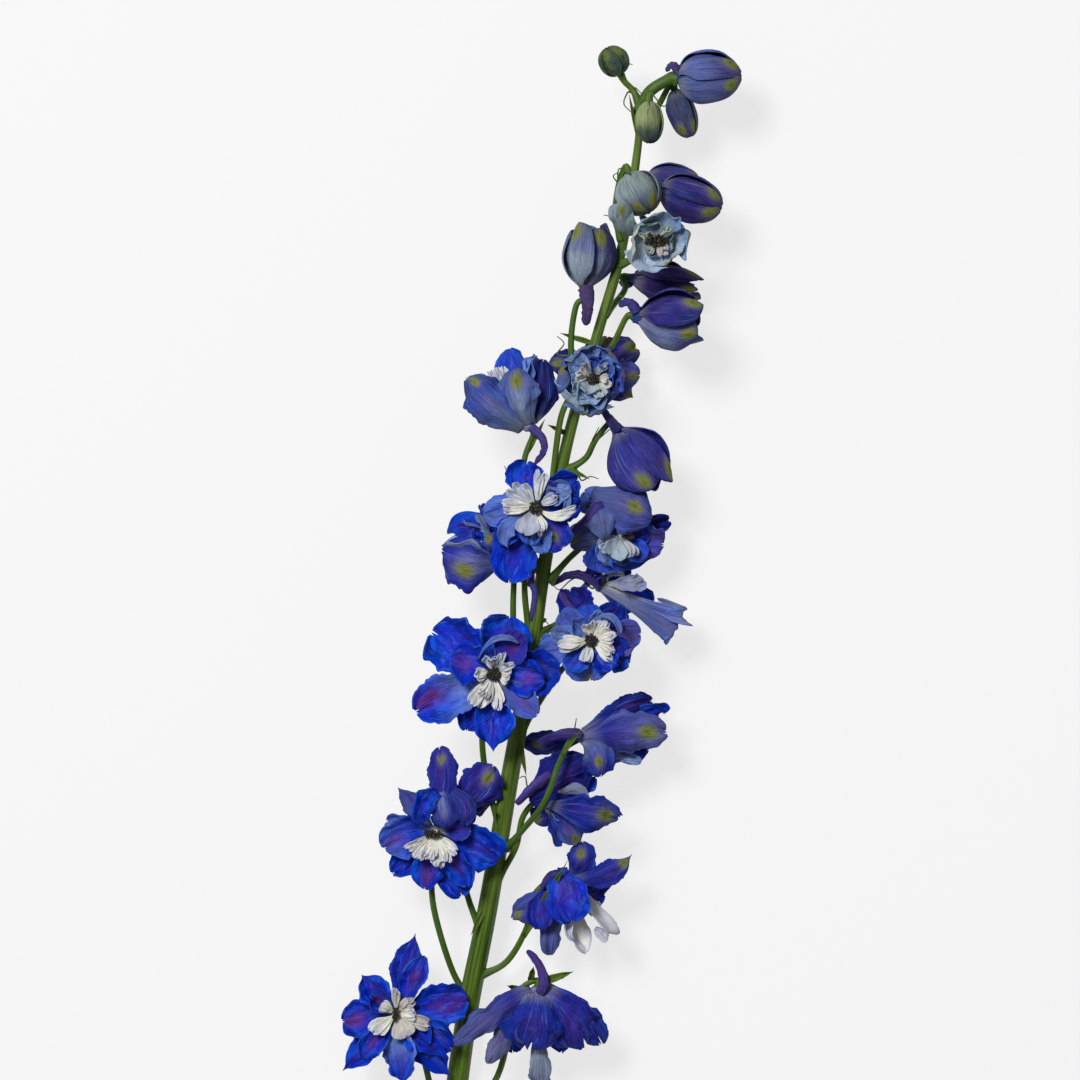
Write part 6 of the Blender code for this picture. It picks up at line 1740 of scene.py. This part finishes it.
def floor():
    """The pale floor, which glows a little so that it is near white in the picture."""
    mesh = bpy.data.meshes.new("floor")
    corners = [(-1, -1), (1, -1), (1, 1), (-1, 1)]
    mesh.from_pydata([(FLOOR_REACH * x, FLOOR_REACH * y, 0) for x, y in corners], [], [(0, 1, 2, 3)])
    thing = bpy.data.objects.new("floor", mesh)
    bpy.context.collection.objects.link(thing)
    material = bpy.data.materials.new("pale_floor")
    material.use_nodes = True
    tree = material.node_tree
    shader = tree.nodes["Principled BSDF"]
    speckle = tree.nodes.new("ShaderNodeTexNoise")
    speckle.inputs["Scale"].default_value = 9.0
    ramp = tree.nodes.new("ShaderNodeValToRGB")
    for element, grey in zip(ramp.color_ramp.elements, FLOOR_GREYS):
        element.color = (grey, grey, grey, 1.0)
    tree.links.new(speckle.outputs[0], ramp.inputs[0])
    tree.links.new(ramp.outputs[0], shader.inputs["Base Color"])
    shader.inputs["Emission Color"].default_value = FLOOR_GLOW_COLOUR
    shader.inputs["Emission Strength"].default_value = FLOOR_GLOW
    shader.inputs["Roughness"].default_value = 0.9
    shader.inputs["Specular IOR Level"].default_value = 0.1
    mesh.materials.append(material)


LAMP_PLACE = (-0.80, 0.95, 2.3)
LAMP_SIZE = 0.7
LAMP_POWER = 69.0
WORLD_LIGHT = 0.26
SEED = 7
FIRST_BLOOM_SEED = 100


def lights_and_camera():
    """One soft lamp at the upper left, even light all round, and a camera straight above."""
    world = bpy.data.worlds.new("studio")
    world.use_nodes = True
    background = world.node_tree.nodes["Background"]
    background.inputs["Color"].default_value = (1.0, 1.0, 1.0, 1.0)
    background.inputs["Strength"].default_value = WORLD_LIGHT
    bpy.context.scene.world = world
    lamp = bpy.data.lights.new("key", "AREA")
    lamp.energy, lamp.size = LAMP_POWER, LAMP_SIZE
    thing = bpy.data.objects.new("key", lamp)
    thing.location = LAMP_PLACE
    thing.rotation_euler = Vector(LAMP_PLACE).to_track_quat("Z", "Y").to_euler()
    bpy.context.collection.objects.link(thing)
    camera = bpy.data.cameras.new("camera")
    camera.lens, camera.sensor_width, camera.sensor_fit = CAMERA_LENS, SENSOR, "HORIZONTAL"
    thing = bpy.data.objects.new("camera", camera)
    distance = FRAME_WIDTH * MM * CAMERA_LENS / SENSOR
    across, along = FRAME_MIDDLE[0] - MIDDLE[0], FRAME_MIDDLE[1] - MIDDLE[1]
    thing.location = (across * MM, along * MM, FRAME_HEIGHT_OF_BLOOMS * MM + distance)
    bpy.context.collection.objects.link(thing)
    bpy.context.scene.camera = thing
    bpy.context.scene.view_settings.view_transform = "Standard"


def dress():
    """Makes every piece and hands it its node."""
    settle(BLOOMS)
    rng = np.random.default_rng(SEED)
    sepal_skin = petal_material("sepal_skin", 0.42)
    young_skin = petal_material("young_skin", 0.48)
    bud_skin = petal_material("bud_skin", 0.50)
    bee_skin, stamen_skin = bee_material(), stamen_material()
    stem_skin, stalk_skin = stem_material("stem_skin", 14.0), stem_material("stalk_skin", 4.0)
    make_piece("ribbed_stem", stem_shape(rng), stem_skin, "stem")
    make_piece("flower_stalks", stalk_shape(rng, BLOOMS), stalk_skin, "stem")
    leaves = bract_shape(rng)
    threads(leaves, BLOOMS, rng)
    make_piece("bracts", leaves, stalk_skin, "stem")
    for number, bloom in enumerate(BLOOMS):
        rng = np.random.default_rng(FIRST_BLOOM_SEED + number)
        name = bloom.name
        if bloom.kind == "bud":
            make_piece(f"{name}_skin", bud_shape(bloom, rng), bud_skin, name)
        elif bloom.kind == "young":
            make_piece(f"{name}_petals", young_shape(bloom, rng), young_skin, name)
        elif bloom.kind == "turned":
            make_piece(f"{name}_petals", sepal_shape(bloom, rng), young_skin, name)
        else:
            make_piece(f"{name}_blue_petals", sepal_shape(bloom, rng), sepal_skin,
                       f"{name}_sepals")
            make_piece(f"{name}_white_bee", bee_shape(bloom, rng), bee_skin,
                       f"{name}_bee")
            if bloom.stamens:
                make_piece(f"{name}_anthers", stamen_shape(bloom, rng), stamen_skin,
                           f"{name}_stamens")


dress()
floor()
lights_and_camera()
